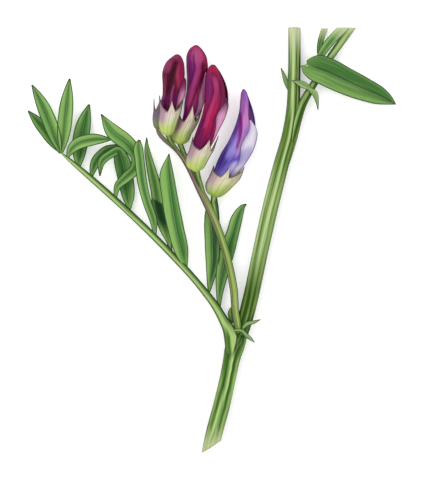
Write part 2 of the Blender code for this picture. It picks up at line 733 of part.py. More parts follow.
def build_small_green(collection):
    """The stipules and the axillary bud."""
    material = new_material("stipule_green", STIPULE_GREEN, 0.6)
    for name, stations in STIPULES.items():
        blade(name, stations, material, collection, lift=0.1, rows=6, columns=2)
    tube("axillary_bud", AXILLARY_BUD, material, collection, count=7)


def build_florets(collection, cutters):
    """Five florets, each its calyx and petals."""
    cup = new_material("calyx_cream", CALYX_CREAM, 0.6)
    magenta = new_material("petal_magenta", MAGENTA, 0.5)
    violet = new_material("petal_violet", VIOLET, 0.5)
    pink = new_material("wing_pink", WING_PINK, 0.5)
    lilac = new_material("wing_lilac", WING_LILAC, 0.5)
    for number, floret in FLORETS.items():
        outer, inner = (violet, lilac) if number == 4 else (magenta, pink)
        item = calyx(f"calyx_{number}", floret.calyx, floret.teeth, floret.middle, cup, collection)
        if number == 4:
            cut_below_surface(item, cutters)
        standard(f"standard_{number}", floret.petals, floret.middle, outer, collection)
        inner_petals(f"wings_keel_{number}", floret.petals, floret.middle, inner, collection)
    mauve = new_material("calyx_mauve", CALYX_MAUVE, 0.6)
    calyx("calyx_5", YOUNG_CALYX, YOUNG_TEETH, YOUNG_MIDDLE, mauve, collection)
    bud = new_material("bud_purple", BUD_PURPLE, 0.6)
    sections = []
    for row in smooth_path(YOUNG_PETALS, 8):
        turns = np.linspace(0, 2 * math.pi, INNER_COLUMNS, endpoint=False)
        sections.append([ring_point(row, turn, YOUNG_MIDDLE) for turn in turns])
    loft("petals_5", sections, bud, collection)


def main():
    """Builds the sprig."""
    clear_scene()
    collection = new_collection(COLLECTION)
    cutters = new_collection(CUTTERS)
    build_stem(collection, cutters)
    build_leaf(collection)
    build_upper_leaf(collection, cutters)
    build_peduncle(collection)
    build_small_green(collection)
    build_florets(collection, cutters)


main()
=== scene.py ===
"""The looks of a picked vetch sprig that lies on a pale surface under soft light.

Places on the sprig are sheet points, x to the right and y down, with a height in millimetres.
at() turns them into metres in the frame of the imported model. Paints are colours of 0 to 255.
"""
from __future__ import annotations

import logging
import math
from dataclasses import dataclass, field
from enum import Enum
from typing import Callable, NamedTuple, Sequence

import bmesh
import bpy
import numpy as np
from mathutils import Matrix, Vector

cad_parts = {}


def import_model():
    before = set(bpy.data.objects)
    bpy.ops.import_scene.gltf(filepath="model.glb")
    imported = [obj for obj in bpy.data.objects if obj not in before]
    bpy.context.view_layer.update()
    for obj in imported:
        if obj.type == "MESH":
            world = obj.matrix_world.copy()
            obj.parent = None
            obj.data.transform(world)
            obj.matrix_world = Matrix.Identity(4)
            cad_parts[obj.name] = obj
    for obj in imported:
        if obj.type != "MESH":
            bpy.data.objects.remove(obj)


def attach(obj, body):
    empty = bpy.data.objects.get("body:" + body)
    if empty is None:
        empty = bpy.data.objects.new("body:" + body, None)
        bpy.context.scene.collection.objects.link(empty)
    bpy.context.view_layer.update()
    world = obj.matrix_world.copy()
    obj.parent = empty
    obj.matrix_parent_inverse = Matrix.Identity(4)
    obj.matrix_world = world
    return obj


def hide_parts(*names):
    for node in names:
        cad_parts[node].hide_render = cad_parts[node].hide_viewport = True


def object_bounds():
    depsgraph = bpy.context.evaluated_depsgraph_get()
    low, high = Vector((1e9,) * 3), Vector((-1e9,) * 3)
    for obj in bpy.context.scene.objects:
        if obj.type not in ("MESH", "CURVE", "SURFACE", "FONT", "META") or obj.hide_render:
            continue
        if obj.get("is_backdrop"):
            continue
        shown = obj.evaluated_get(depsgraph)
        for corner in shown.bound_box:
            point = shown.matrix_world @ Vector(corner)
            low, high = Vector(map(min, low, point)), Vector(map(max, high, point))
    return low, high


LOG = logging.getLogger("vetch")

MM = 0.001
FULL_TURN = 2 * math.pi

# The sprig's length in metres and in sheet units, and the sheet point at the frame's origin.
SPRIG_LENGTH = 0.0896
SHEET_LENGTH = 426.5
UNIT = SPRIG_LENGTH / SHEET_LENGTH
UNIT_MM = UNIT / MM
SHEET_X = 212.0
SHEET_Y = 240.3

# An edge distance too far off for any outline, the ribs round a calyx, and the sprig's one body.
FAR_MM = 9.0
RIBS = 10
BODY = "root"

Paint = tuple[int, int, int]
Bands = Sequence[tuple[float, Paint]]
Linear = tuple[float, float, float, float]
Pair = tuple[float, float]
Row = Sequence[float]
Item = bpy.types.Object
Material = bpy.types.Material
Socket = bpy.types.NodeSocket


class Point(NamedTuple):
    """A point of a surface with what its finish and its wall read.

    flow is its place across and along the piece, edge holds distances in millimetres, and
    wall is the share of the full wall thickness here.
    """

    place: Vector
    flow: Pair
    edge: Pair = (FAR_MM, FAR_MM)
    wall: float = 1.0


def at(x: float, y: float, z_mm: float) -> Vector:
    """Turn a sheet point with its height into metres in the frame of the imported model."""
    return Vector(((x - SHEET_X) * UNIT, (SHEET_Y - y) * UNIT, z_mm * MM))


def linear(paint: Paint) -> Linear:
    """Turn a paint into the linear values that shaders take.

    Args:
        paint: Red, green and blue from 0 to 255.

    Returns:
        The linear colour, opaque.
    """
    shares = (level / 255 for level in paint)
    red, green, blue = (s / 12.92 if s <= 0.04045 else ((s + 0.055) / 1.055) ** 2.4 for s in shares)
    return red, green, blue, 1.0


def bump(value: float, width: float) -> float:
    """A soft bump of height one round zero."""
    return math.exp(-((value / width) ** 2))


def ease(value: float, start: float, end: float) -> float:
    """A smooth step from 0 at start to 1 at end."""
    share = min(max((value - start) / (end - start), 0.0), 1.0)
    return share * share * (3 - 2 * share)


def across_of(turn: float) -> float:
    """The share across a ring at a turn from its left end, negative on the far side."""
    share = (1 - math.cos(turn)) / 2
    return share if math.sin(turn) >= 0 else -share


class Path:
    """A smooth curve through rows of numbers, whose first two are a sheet point."""

    look_ahead: int = 3
    look_back: int = 2

    def __init__(self, rows: Sequence[Row], count: int) -> None:
        """Read the curve at even steps.

        Args:
            rows: The rows that it passes through.
            count: How many even rows to keep.
        """
        table = np.array(rows, dtype=float)
        steps = np.linalg.norm(np.diff(table[:, :2], axis=0), axis=1)
        knots = np.concatenate([[0.0], np.cumsum(steps)])
        knots /= knots[-1]
        slopes = np.gradient(table, knots, axis=0)
        even = []
        for t in np.linspace(0.0, 1.0, count):
            k = min(int(np.searchsorted(knots, t, side="right")) - 1, len(knots) - 2)
            span = knots[k + 1] - knots[k]
            s = (t - knots[k]) / span
            start = (1 + 2 * s) * (1 - s) ** 2 * table[k] + s * (1 - s) ** 2 * span * slopes[k]
            end = s * s * (3 - 2 * s) * table[k + 1] + s * s * (s - 1) * span * slopes[k + 1]
            even.append(start + end)
        self.table = np.array(even)
        self.last = count - 1

    def find(self, share: float) -> tuple[int, float]:
        """Find a share of the length in the even rows.

        Args:
            share: 0 at the first row, 1 at the last.

        Returns:
            The row before it, and the part of a step past that row.
        """
        where = min(max(share, 0.0), 1.0) * self.last
        index = min(int(where), self.last - 1)
        return index, where - index

    def read(self, share: float) -> np.ndarray:
        """The row at a share of the length."""
        index, rest = self.find(share)
        return self.table[index] * (1 - rest) + self.table[index + 1] * rest

    def spot(self, index: int) -> Vector:
        """The place of an even row, or of the last one before the curve ends."""
        return at(*self.table[min(max(index, 0), self.last)][:3])

    def ahead(self, share: float) -> Vector:
        """The unit direction towards the end at a share of the length."""
        index, _ = self.find(share)
        return (self.spot(index + self.look_ahead) - self.spot(index - self.look_back)).normalized()


@dataclass
class Surface:
    """A grid bent by a formula, with its flow and edge readings as UV maps."""

    rows: int
    columns: int
    place: Callable[[float, float], Point]
    closed: bool = False
    wall_mm: float = 0.0
    outward: float = 0.0

    def build(self, name: str, material: Material) -> Item:
        """Make the object, with a Solidify wall where one is asked for.

        Args:
            name: The object's name.
            material: Its finish.

        Returns:
            The object, riding on the sprig's body.
        """
        body = bmesh.new()
        flow = body.loops.layers.uv.new("flow")
        edge = body.loops.layers.uv.new("edge")
        ring = self.columns if self.closed else self.columns + 1
        points = [
            [self.place(i / self.columns, j / self.rows) for i in range(self.columns + 1)]
            for j in range(self.rows + 1)
        ]
        verts = [[body.verts.new(row[i].place) for i in range(ring)] for row in points]
        for j in range(self.rows):
            for i in range(self.columns):
                corners = ((j, i), (j, i + 1), (j + 1, i + 1), (j + 1, i))
                face = body.faces.new([verts[r][c % ring] for r, c in corners])
                face.smooth = True
                for loop, (r, c) in zip(face.loops, corners):
                    loop[flow].uv = points[r][c].flow
                    loop[edge].uv = points[r][c].edge
        mesh = bpy.data.meshes.new(name)
        body.to_mesh(mesh)
        body.free()
        mesh.materials.append(material)
        item = bpy.data.objects.new(name, mesh)
        bpy.context.scene.collection.objects.link(item)
        if self.wall_mm:
            self.add_wall(item, [row[i].wall for row in points for i in range(ring)])
        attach(item, BODY)
        LOG.info("built %s", name)
        return item

    def add_wall(self, item: Item, shares: list[float]) -> None:
        """Give the surface its thickness.

        Args:
            item: The object.
            shares: The share of the full thickness at each vertex.
        """
        group = item.vertex_groups.new(name="wall")
        for index, share in enumerate(shares):
            group.add([index], share, "REPLACE")
        solid = item.modifiers.new("wall", "SOLIDIFY")
        solid.thickness = self.wall_mm * MM
        solid.offset = self.outward
        solid.vertex_group = "wall"


def stand_in(pieces: Sequence[Item], node: str, slot: str) -> None:
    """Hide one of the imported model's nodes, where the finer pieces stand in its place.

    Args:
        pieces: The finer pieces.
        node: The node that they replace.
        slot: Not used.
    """
    for piece in pieces:
        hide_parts(node)


class Fade(NamedTuple):
    """A smooth step: low for a reading up to start, and high from end on."""

    start: float
    end: float
    low: float = 0.0
    high: float = 1.0


class Signal:
    """An output of a finish's nodes, which reckons like a number."""

    def __init__(self, recipe: Recipe, socket: Socket) -> None:
        """Wrap an output socket of a recipe's node."""
        self.recipe = recipe
        self.socket = socket

    def math(self, operation: str, other: float | Signal = 0.0) -> Signal:
        """Put it through a Math node."""
        return self.recipe.add("ShaderNodeMath", {0: self, 1: other}, operation=operation)

    def __add__(self, other: float | Signal) -> Signal:
        """The sum."""
        return self.math("ADD", other)

    def __sub__(self, other: float | Signal) -> Signal:
        """The difference."""
        return self.math("SUBTRACT", other)

    def __mul__(self, other: float | Signal) -> Signal:
        """The product."""
        return self.math("MULTIPLY", other)

    def __truediv__(self, other: float | Signal) -> Signal:
        """The quotient."""
        return self.math("DIVIDE", other)

    def __abs__(self) -> Signal:
        """The value without its sign."""
        return self.math("ABSOLUTE")

    def fade(self, fade: Fade) -> Signal:
        """Put it through a smooth step."""
        inputs = dict(enumerate((self, *fade)))
        return self.recipe.add("ShaderNodeMapRange", inputs, interpolation_type="SMOOTHSTEP")

    def to_side(self) -> Signal:
        """The distance of a share to the nearer one of 0 and 1."""
        rest = self.recipe.add("ShaderNodeMath", {0: 1.0, 1: self}, operation="SUBTRACT")
        return self.math("MINIMUM", rest)


class Recipe:
    """The nodes of one finish, and the colour that they have reached."""

    sheen: float = 0.10
    glow_depth_mm: float = 0.4
    grain_roughness: float = 0.62

    def __init__(self, name: str) -> None:
        """Start a material with a Principled shader.

        Args:
            name: The material's name.
        """
        self.material = bpy.data.materials.new(name)
        self.material.use_nodes = True
        self.tree = self.material.node_tree
        self.shader = self.tree.nodes["Principled BSDF"].inputs
        self.colour: Linear | Signal = linear((255, 255, 255))

    def feed(self, socket: Socket, value: object) -> None:
        """Link a signal to an input, or set a constant on it.

        Args:
            socket: The input.
            value: What it takes.
        """
        if isinstance(value, Signal):
            self.tree.links.new(value.socket, socket)
        else:
            socket.default_value = value

    def add(self, kind: str, inputs: dict[int | str, object], output: int = 0, **settings: str) -> Signal:
        """Add a node.

        Args:
            kind: Its type.
            inputs: What its inputs take, by number or name.
            output: The number of the output that is wanted.
            settings: Its attributes.

        Returns:
            That output.
        """
        node = self.tree.nodes.new(kind)
        for name, setting in settings.items():
            setattr(node, name, setting)
        for key, value in inputs.items():
            self.feed(node.inputs[key], value)
        return Signal(self, node.outputs[output])

    def readings(self, layer: str) -> tuple[Signal, Signal]:
        """Read a UV map.

        Args:
            layer: The map's name.

        Returns:
            Its two readings.
        """
        place = self.add("ShaderNodeUVMap", {}, uv_map=layer)
        first = self.add("ShaderNodeSeparateXYZ", {0: place})
        return first, Signal(self, first.socket.node.outputs[1])

    def mix(self, share: float | Signal, top: Linear | Signal, blend: str = "MIX") -> None:
        """Lay a colour over the one reached so far, by a share and in a way of mixing."""
        inputs = {0: share, 6: self.colour, 7: top}
        self.colour = self.add("ShaderNodeMix", inputs, output=2, data_type="RGBA", blend_type=blend)

    def paint(self, share: float | Signal, paint: Paint) -> None:
        """Lay a paint over the colour reached so far."""
        self.mix(share, linear(paint))

    def layer(self, reading: Signal, fade: Fade, paint: Paint) -> None:
        """Lay a paint over the colour reached so far, as far as a reading's fade says."""
        self.mix(reading.fade(fade), linear(paint))

    def ramp(self, value: Signal, stops: Sequence[tuple[float, Linear]]) -> Signal:
        """A colour ramp.

        Args:
            value: What it reads.
            stops: Its places with their colours.

        Returns:
            The colour.
        """
        colour = self.add("ShaderNodeValToRGB", {0: value})
        elements = colour.socket.node.color_ramp.elements
        while len(elements) < len(stops):
            elements.new(0.5)
        for element, (place, tint) in zip(elements, stops):
            element.position = place
            element.color = tint
        return colour

    def bands(self, value: Signal, bands: Bands) -> Signal:
        """A colour ramp through paints."""
        return self.ramp(value, [(place, linear(paint)) for place, paint in bands])

    def grain(self, x: Signal, y: Signal, stretch: Pair, seed: float, detail: float = 3.0) -> Signal:
        """Noise stretched along a piece.

        Args:
            x: The place across.
            y: The place along.
            stretch: How many grains fit across and along.
            seed: The slice of the noise.
            detail: How fine it gets.

        Returns:
            The noise, 0 to 1.
        """
        place = self.add("ShaderNodeCombineXYZ", {0: x * stretch[0], 1: y * stretch[1], 2: seed})
        inputs = {"Vector": place, "Scale": 1.0, "Detail": detail, "Roughness": self.grain_roughness}
        return self.add("ShaderNodeTexNoise", inputs)

    def spot(self, places: Sequence[Signal], centre: Sequence[float], reach: Sequence[float]) -> Signal:
        """A soft patch.

        Args:
            places: What it reads, one signal an axis.
            centre: Where it is full, on each axis.
            reach: How far it spreads, on each axis.

        Returns:
            1 at its centre, 0 at its reach.
        """
        away = [(place - middle) / half for place, middle, half in zip(places, centre, reach)]
        squares = [part * part for part in away]
        return sum(squares[1:], start=squares[0]).fade(Fade(0.0, 1.0, 1.0, 0.0))

    def relief(self, height: Signal, depth_mm: float, strength: float) -> None:
        """Raise the surface by a height of 0 to 1, of which 1 stands for depth_mm."""
        inputs = {"Strength": strength, "Distance": depth_mm * MM, "Height": height}
        self.feed(self.shader["Normal"], self.add("ShaderNodeBump", inputs))

    def finish(self, roughness: Signal, glow: float = 0.0, deepen: float = 1.0) -> Material:
        """Wire up the shader.

        Args:
            roughness: How matt it is.
            glow: Share of light that passes under the skin.
            deepen: What the colour is multiplied by, since soft light all round lifts it.

        Returns:
            The finished material.
        """
        if deepen < 1.0:
            self.mix(1.0, (deepen, deepen, deepen, 1.0), "MULTIPLY")
        constants = {
            "Base Color": self.colour, "Roughness": roughness, "Specular IOR Level": self.sheen,
            "Subsurface Weight": glow, "Subsurface Scale": self.glow_depth_mm * MM,
        }
        for name, value in constants.items():
            self.feed(self.shader[name], value)
        return self.material


class Tone(Enum):
    """The greens of a leaflet half: the lighter ones are painted light, the darker ones painted shade."""

    PALE = (186, 210, 148)
    LIGHT = (138, 184, 98)
    MID = (106, 158, 78)
    DARK = (72, 128, 58)
    DEEP = (26, 76, 42)


@dataclass(frozen=True)
class LeafFinish:
    """A leaflet with its two halves painted in greens of light and shade, darker beside the midrib, a midrib
    and fine veins.
    """

    left: Tone
    right: Tone
    # folded: whether a band of painted shadow lies across the leaflet where it bends over
    folded: bool = False
    outline_mm: float = 0.22
    end: Paint = (96, 84, 48)
    end_from: float = 0.965
    deepen: float = 0.88
    strokes: Pair = (11.0, 1.8)
    outline: Paint = (26, 52, 24)
    rib: Paint = (176, 208, 128)
    foot: Paint = (120, 168, 80)
    glint: Paint = (158, 198, 122)
    # fold: the colour of that painted shadow
    fold: Paint = (14, 66, 38)
    vein_count: float = 26.0
    vein_slant: float = 1.5

    def make(self) -> Material:
        """Build the material.

        Returns:
            The finished material.
        """
        recipe = Recipe(f"leaf_{self.left.name}_{self.right.name}".lower())
        across, along = recipe.readings("flow")
        margin, aside = recipe.readings("edge")
        distance = abs(aside)
        strokes = recipe.grain(across, along, self.strokes, 1.7)
        slant = along * self.vein_count - distance * self.vein_slant
        veins = (slant * FULL_TURN).math("SINE").fade(Fade(0.72, 1.0))
        # painted light and shade: one half in one green, the other half in another, as the lit and shaded
        # sides of the V fold
        recipe.colour = linear(self.left.value)
        recipe.layer(aside, Fade(-0.10, 0.10), self.right.value)
        recipe.layer(strokes, Fade(0.46, 0.66, 0.0, 0.6), Tone.DARK.value)
        recipe.layer(strokes, Fade(0.32, 0.46, 0.45, 0.0), Tone.LIGHT.value)
        # painted shade: darker beside the midrib, in the crease of the V fold
        recipe.layer(distance, Fade(0.08, 0.85, 0.5, 0.0), Tone.DEEP.value)
        recipe.paint(veins * 0.07, self.rib)
        recipe.layer(distance, Fade(0.03, 0.10, 0.55, 0.0), self.rib)
        recipe.layer(along, Fade(0.0, 0.14, 0.6, 0.0), self.foot)
        # painted shadow: a dark band across a folded leaflet, just below where it bends over
        if self.folded:
            slope = along + across * 0.09
            shadow = slope.fade(Fade(0.18, 0.33)) * slope.fade(Fade(0.48, 0.505, 0.92, 0.0))
            recipe.paint(shadow, self.fold)
        recipe.layer(margin, Fade(0.25, 0.85, 0.32, 0.0), self.glint)
        recipe.layer(margin, Fade(self.outline_mm * 0.35, self.outline_mm, 0.9, 0.0), self.outline)
        recipe.layer(along, Fade(self.end_from, 0.995, 0.0, 0.8), self.end)
        recipe.relief(strokes * 0.5 - veins * 0.35, 0.05, 0.5)
        return recipe.finish(strokes * 0.2 + 0.42, 0.08, self.deepen)


class Stage(NamedTuple):
    """Bands of painted light and shade round a stalk that take over between two shares of its length."""

    start: float
    end: float
    bands: Bands


@dataclass(frozen=True)
class StalkFinish:
    """A stalk with lengthwise bands of painted light and shade round it, and long fine strokes."""

    name: str
    bands: Bands
    stages: tuple[Stage, ...]
    rim: Pair = (0.13, 0.175)
    strokes: float = 15.0
    light_strokes: float = 0.5
    dark_stroke: Paint = (38, 84, 24)
    light_stroke: Paint = (190, 212, 136)
    # outline: the colour of the painted shade down both sides
    outline: Paint = (36, 58, 22)
    pale_foot: float = 0.0
    pale_top: float = 0.0
    foot: Paint = (214, 224, 170)
    top: Paint = (222, 230, 186)
    plain_start: float = 0.0
    plain_left: bool = False

    def make(self) -> Material:
        """Build the material.

        Returns:
            The finished material.
        """
        recipe = Recipe(self.name)
        turn, along = recipe.readings("flow")
        bent = turn + (recipe.grain(turn, along, (3.0, 9.0), 4.1, 1.0) - 0.5) * 0.03
        strokes = recipe.grain(turn, along, (self.strokes, 3.2), 2.3, 2.0)
        # painted light and shade: bands round the stalk, lighter along its top and ridges, darker down its
        # sides
        recipe.colour = recipe.bands(bent, self.bands)
        for start, end, bands in self.stages:
            recipe.mix(along.fade(Fade(start, end)), recipe.bands(bent, bands))
        if self.pale_foot:
            recipe.layer(along, Fade(0.0, self.pale_foot, 0.75, 0.0), self.foot)
        if self.pale_top:
            recipe.layer(along, Fade(1.0 - self.pale_top, 1.0, 0.0, 0.8), self.top)
        recipe.layer(strokes, Fade(0.48, 0.66, 0.0, 0.7), self.dark_stroke)
        recipe.layer(strokes, Fade(0.30, 0.44, self.light_strokes, 0.0), self.light_stroke)
        # painted shade: a dark band down both sides, where the stalk turns away from the light above
        recipe.paint(self.rim_share(turn, along), self.outline)
        recipe.relief(strokes, 0.06, 0.5)
        return recipe.finish(strokes * 0.22 + 0.42, 0.05, 0.78)

    def rim_share(self, turn: Signal, along: Signal) -> Signal:
        """How far the dark band of painted shade down the sides shows, none where the stalk starts inside
        another.

        Args:
            turn: The way round.
            along: The way along.

        Returns:
            The share.
        """
        rim = abs(turn - 0.5).fade(Fade(*self.rim, 0.0, 0.85))
        if not self.plain_start:
            return rim
        kept = turn.fade(Fade(0.45, 0.55, *((0.0, 1.0) if self.plain_left else (1.0, 0.0))))
        grown = along.fade(Fade(self.plain_start * 0.6, self.plain_start))
        free = along.fade(Fade(self.plain_start * 0.5, self.plain_start * 0.7))
        return rim * kept.math("MAXIMUM", grown) * free


@dataclass(frozen=True)
class CalyxFinish:
    """A calyx: yellow green foot, cream wall, mauve flush and fine ribs."""

    name: str
    foot: Paint = (190, 212, 112)
    wall: Paint = (228, 218, 194)
    flush: Paint = (164, 126, 150)
    teeth: Paint = (214, 204, 186)
    rib: Paint = (128, 138, 84)
    outline: Paint = (66, 60, 46)
    side: Paint = (152, 176, 98)

    def make(self) -> Material:
        """Build the material.

        Returns:
            The finished material.
        """
        recipe = Recipe(self.name)
        across, along = recipe.readings("flow")
        margin, turn = recipe.readings("edge")
        far = abs(across)
        strokes = recipe.grain(turn, along, (26.0, 2.2), 5.9)
        height = along + (strokes - 0.5) * 0.35
        ribs = (turn * (RIBS * FULL_TURN)).math("COSINE").fade(Fade(0.55, 1.0))
        recipe.colour = recipe.bands(
            height, ((0.04, self.foot), (0.26, self.foot), (0.48, self.wall), (0.92, self.teeth)))
        recipe.paint(height.fade(Fade(0.16, 0.46)) * far.fade(Fade(0.14, 0.58, 0.9, 0.0)), self.flush)
        recipe.paint(strokes.fade(Fade(0.44, 0.60)) * along.fade(Fade(0.25, 0.75, 0.0, 0.75)), self.flush)
        recipe.paint(far.fade(Fade(0.55, 0.9)) * along.fade(Fade(0.1, 0.9, 0.6, 0.2)), self.side)
        recipe.paint(ribs * 0.30, self.rib)
        recipe.layer(margin, Fade(0.04, 0.12, 0.75, 0.0), self.outline)
        recipe.layer(far.to_side(), Fade(0.010, 0.045, 0.8, 0.0), self.outline)
        recipe.relief(strokes + ribs, 0.05, 0.45)
        return recipe.finish(strokes * 0.2 + 0.45, 0.10, 0.95)


@dataclass(frozen=True)
class CutFinish:
    """The pale wet face of a cut stalk, with its green skin and a ring of bundles."""

    name: str = "cut_face"
    pith: Paint = (232, 236, 204)
    bundle: Paint = (176, 200, 120)
    skin: Paint = (74, 118, 44)
    bundles: int = 12

    def make(self) -> Material:
        """Build the material.

        Returns:
            The finished material.
        """
        recipe = Recipe(self.name)
        turn, out = recipe.readings("flow")
        fine = recipe.grain(turn, out, (30.0, 9.0), 1.1)
        wave = (turn * (self.bundles * FULL_TURN)).math("COSINE").fade(Fade(0.2, 0.9))
        dots = wave * recipe.spot((out,), (0.72,), (0.14,))
        recipe.colour = linear(self.pith)
        recipe.layer(out, Fade(0.1, 0.8, 0.0, 0.4), self.bundle)
        recipe.paint(dots * 0.7, self.bundle)
        recipe.layer(fine, Fade(0.5, 0.7, 0.0, 0.3), self.bundle)
        recipe.layer(out, Fade(0.86, 0.94), self.skin)
        recipe.relief(fine, 0.05, 0.4)
        return recipe.finish(fine * 0.3 + 0.35, 0.10)


@dataclass
class Blade:
    """A leaf blade folded into a shallow V, with a groove along its midrib.

    A station is (x, y, height in mm, half width), and the right half's width where it differs.
    """

    name: str
    stations: Sequence[Row]
    lift: float = 0.5
    rows: int = 56
    columns: int = 20
    wall_mm: float = 0.24
    groove_mm: float = 0.10
    groove_width_mm: float = 0.14
    ripple_mm: float = 0.05
    ripple_pace: float = 17.0
    lobes_mm: Pair = (0.0, 0.0)
    level_end: bool = False
    least_half: float = 0.12
    plain_half: float = 7.0
    tip_margin_mm: float = 12.0
    thinning: float = 0.55

    def __post_init__(self) -> None:
        """Read the stations, and a phase for the ripple from the name."""
        self.path = Path([row if len(row) > 4 else (*row, row[3]) for row in self.stations], 121)
        self.phase = sum(ord(letter) for letter in self.name)

    def place(self, u: float, v: float) -> Point:
        """A point of the blade.

        Args:
            u: The way across from its left edge.
            v: The way along from its foot.

        Returns:
            The point.
        """
        row = self.path.read(v)
        middle, ahead = at(*row[:3]), self.path.ahead(v)
        side = Vector((-ahead.y, ahead.x, 0.0)).normalized()
        across = 1 - 2 * u
        out = abs(across)
        half = max(row[3] if across > 0 else row[4], self.least_half) * UNIT
        ripple = self.ripple_mm * MM * math.sin(v * self.ripple_pace + self.phase) * out ** 2
        groove = self.groove_mm * MM * bump(across * half, self.groove_width_mm * MM) * ease(v, 0.02, 0.2)
        rise = half * out * self.lift + ripple - groove
        spot = middle + side * (half * across) + Vector((0.0, 0.0, rise))
        lobe = self.lobes_mm[0 if across > 0 else 1] * MM
        lobe *= ease(out, 0.1, 0.5) * (1 - 0.7 * ease(out, 0.6, 1.0)) * (1 - ease(v, 0.0, 0.14))
        spot -= ahead * (lobe * min(half / (self.plain_half * UNIT), 1.0))
        if self.level_end:
            spot += ahead * ((middle.y - spot.y) * ease(v, 0.72, 1.0) / ahead.y)
        margin_mm = min((1 - out) * half / MM, (1 - v) * self.tip_margin_mm)
        return Point(spot, (u, v), (margin_mm, -across * half / MM), 1.0 - self.thinning * out ** 4)

    def build(self, material: Material) -> Item:
        """Make the blade."""
        return Surface(self.rows, self.columns, self.place, wall_mm=self.wall_mm).build(self.name, material)


class Ridge(NamedTuple):
    """A ridge along a stalk: its turn, its height and its width as shares of a turn."""

    turn: float
    height: float
    width: float


@dataclass
class Stalk:
    """A ridged, tapered stalk along a path of (x, y, height in mm, half width)."""

    name: str
    path: Sequence[Row]
    ridges: tuple[Ridge, ...] = ()
    rows: int = 90
    columns: int = 64
    start_line: tuple[Pair, Pair] | None = None
    end_line: tuple[Pair, Pair] | None = None
    round_end: bool = False
    slant_share: float = 0.12
    sunk_share: float = 0.7
    cap_fill: float = 0.02

    def __post_init__(self) -> None:
        """Read the path, and how far the ridges sink the skin between them."""
        self.course = Path(self.path, 181)
        self.sunk = max((ridge.height for ridge in self.ridges), default=0.0) * self.sunk_share

    def point(self, u: float, share: float, fill: float = 1.0) -> Vector:
        """A point of the stalk.

        Args:
            u: The way round, 0.5 at its upper side.
            share: The way along.
            fill: 1 on the skin, 0 on the middle line.

        Returns:
            Its place.
        """
        row, ahead = self.course.read(share), self.course.ahead(share)
        side = Vector((-ahead.y, ahead.x, 0.0)).normalized()
        up = ahead.cross(side)
        up = up if up.z > 0 else -up
        turn = FULL_TURN * (u - 0.25)
        raised = sum(r.height * bump((u - r.turn + 0.5) % 1.0 - 0.5, r.width) for r in self.ridges)
        dome = math.sqrt(max(1 - share ** 24, 0.04)) if self.round_end else 1.0
        reach = row[3] * UNIT * (1.0 + raised - self.sunk) * dome * fill
        spot = at(*row[:3]) + side * (reach * math.cos(turn)) + up * (reach * math.sin(turn))
        spot += ahead * self.slant(spot, ahead, share)
        spot.z = max(spot.z, 0.0)
        return spot

    def slant(self, spot: Vector, ahead: Vector, share: float) -> float:
        """How far a point moves along the stalk so that an end meets its cut line.

        Args:
            spot: The point.
            ahead: The stalk's direction there.
            share: The way along.

        Returns:
            The distance in metres.
        """
        ends = ((self.start_line, share, 0), (self.end_line, 1.0 - share, self.course.last))
        for line, distance, index in ends:
            if line is not None and distance < self.slant_share:
                first = at(*line[0], 0.0)
                run = at(*line[1], 0.0) - first
                normal = Vector((-run.y, run.x, 0.0)).normalized()
                depth = (spot - first).dot(normal) / ahead.dot(normal)
                behind = (spot - self.course.spot(index)).dot(ahead)
                return (behind - depth) * (1.0 - ease(distance, 0.0, self.slant_share))
        return 0.0

    def place(self, u: float, v: float) -> Point:
        """A point of the closed tube, whose first and last rows are small caps.

        Args:
            u: The way round.
            v: The way along, with the caps.

        Returns:
            The point.
        """
        step = round(v * (self.rows + 2))
        fill = self.cap_fill if step in (0, self.rows + 2) else 1.0
        share = min(max((step - 1) / self.rows, 0.0), 1.0)
        return Point(self.point(u, share, fill), (u, share))

    def build(self, material: Material) -> Item:
        """Make the stalk as one closed tube."""
        return Surface(self.rows + 2, self.columns, self.place, closed=True).build(self.name, material)


@dataclass
class CutFace:
    """The face of a stalk's cut end, just outside the end itself."""

    stalk: Stalk
    top: bool
    proud_mm: float = 0.012
    rough_mm: float = 0.03
    wall_mm: float = 0.02

    def __post_init__(self) -> None:
        """Read which way the end looks."""
        course = self.stalk.course
        near, inner = (course.last, course.last - 3) if self.top else (0, 3)
        self.out = (course.spot(near) - course.spot(inner)).normalized()

    def place(self, u: float, v: float) -> Point:
        """A point of the face.

        Args:
            u: The way round.
            v: The way out from its middle.

        Returns:
            The point.
        """
        fill = self.stalk.cap_fill + (1 - self.stalk.cap_fill) * v
        rough_mm = self.rough_mm * abs(math.sin(u * 44) * math.sin(v * 9))
        spot = self.stalk.point(u if self.top else 1 - u, 1.0 if self.top else 0.0, fill)
        return Point(spot + self.out * ((self.proud_mm * (1 + v) + rough_mm) * MM), (u, v))

    def build(self, material: Material) -> Item:
        """Make the face.

        Args:
            material: Its finish.

        Returns:
            The face.
        """
        name = f"{self.stalk.name}_{'top' if self.top else 'foot'}_cut"
        surface = Surface(10, self.stalk.columns, self.place, closed=True, wall_mm=self.wall_mm)
        return surface.build(name, material)


def leaflet(path: Sequence[Row], half: float) -> list[Row]:
    """Stations of a plain leaflet along its midrib, with its greatest half width, tapered at both ends."""
    shares = (0.22, 0.72, 0.98, 1.0, 0.92, 0.60, 0.10)
    return [(*row, half * share) for row, share in zip(Path(path, len(shares)).table, shares)]


# Leaflet finishes: each gives a leaflet's two halves greens of painted light and painted shade
PALE = LeafFinish(Tone.LIGHT, Tone.LIGHT)
DIM = LeafFinish(Tone.MID, Tone.DARK)
CLEAR = LeafFinish(Tone.MID, Tone.LIGHT)
SHADED = LeafFinish(Tone.LIGHT, Tone.DARK)


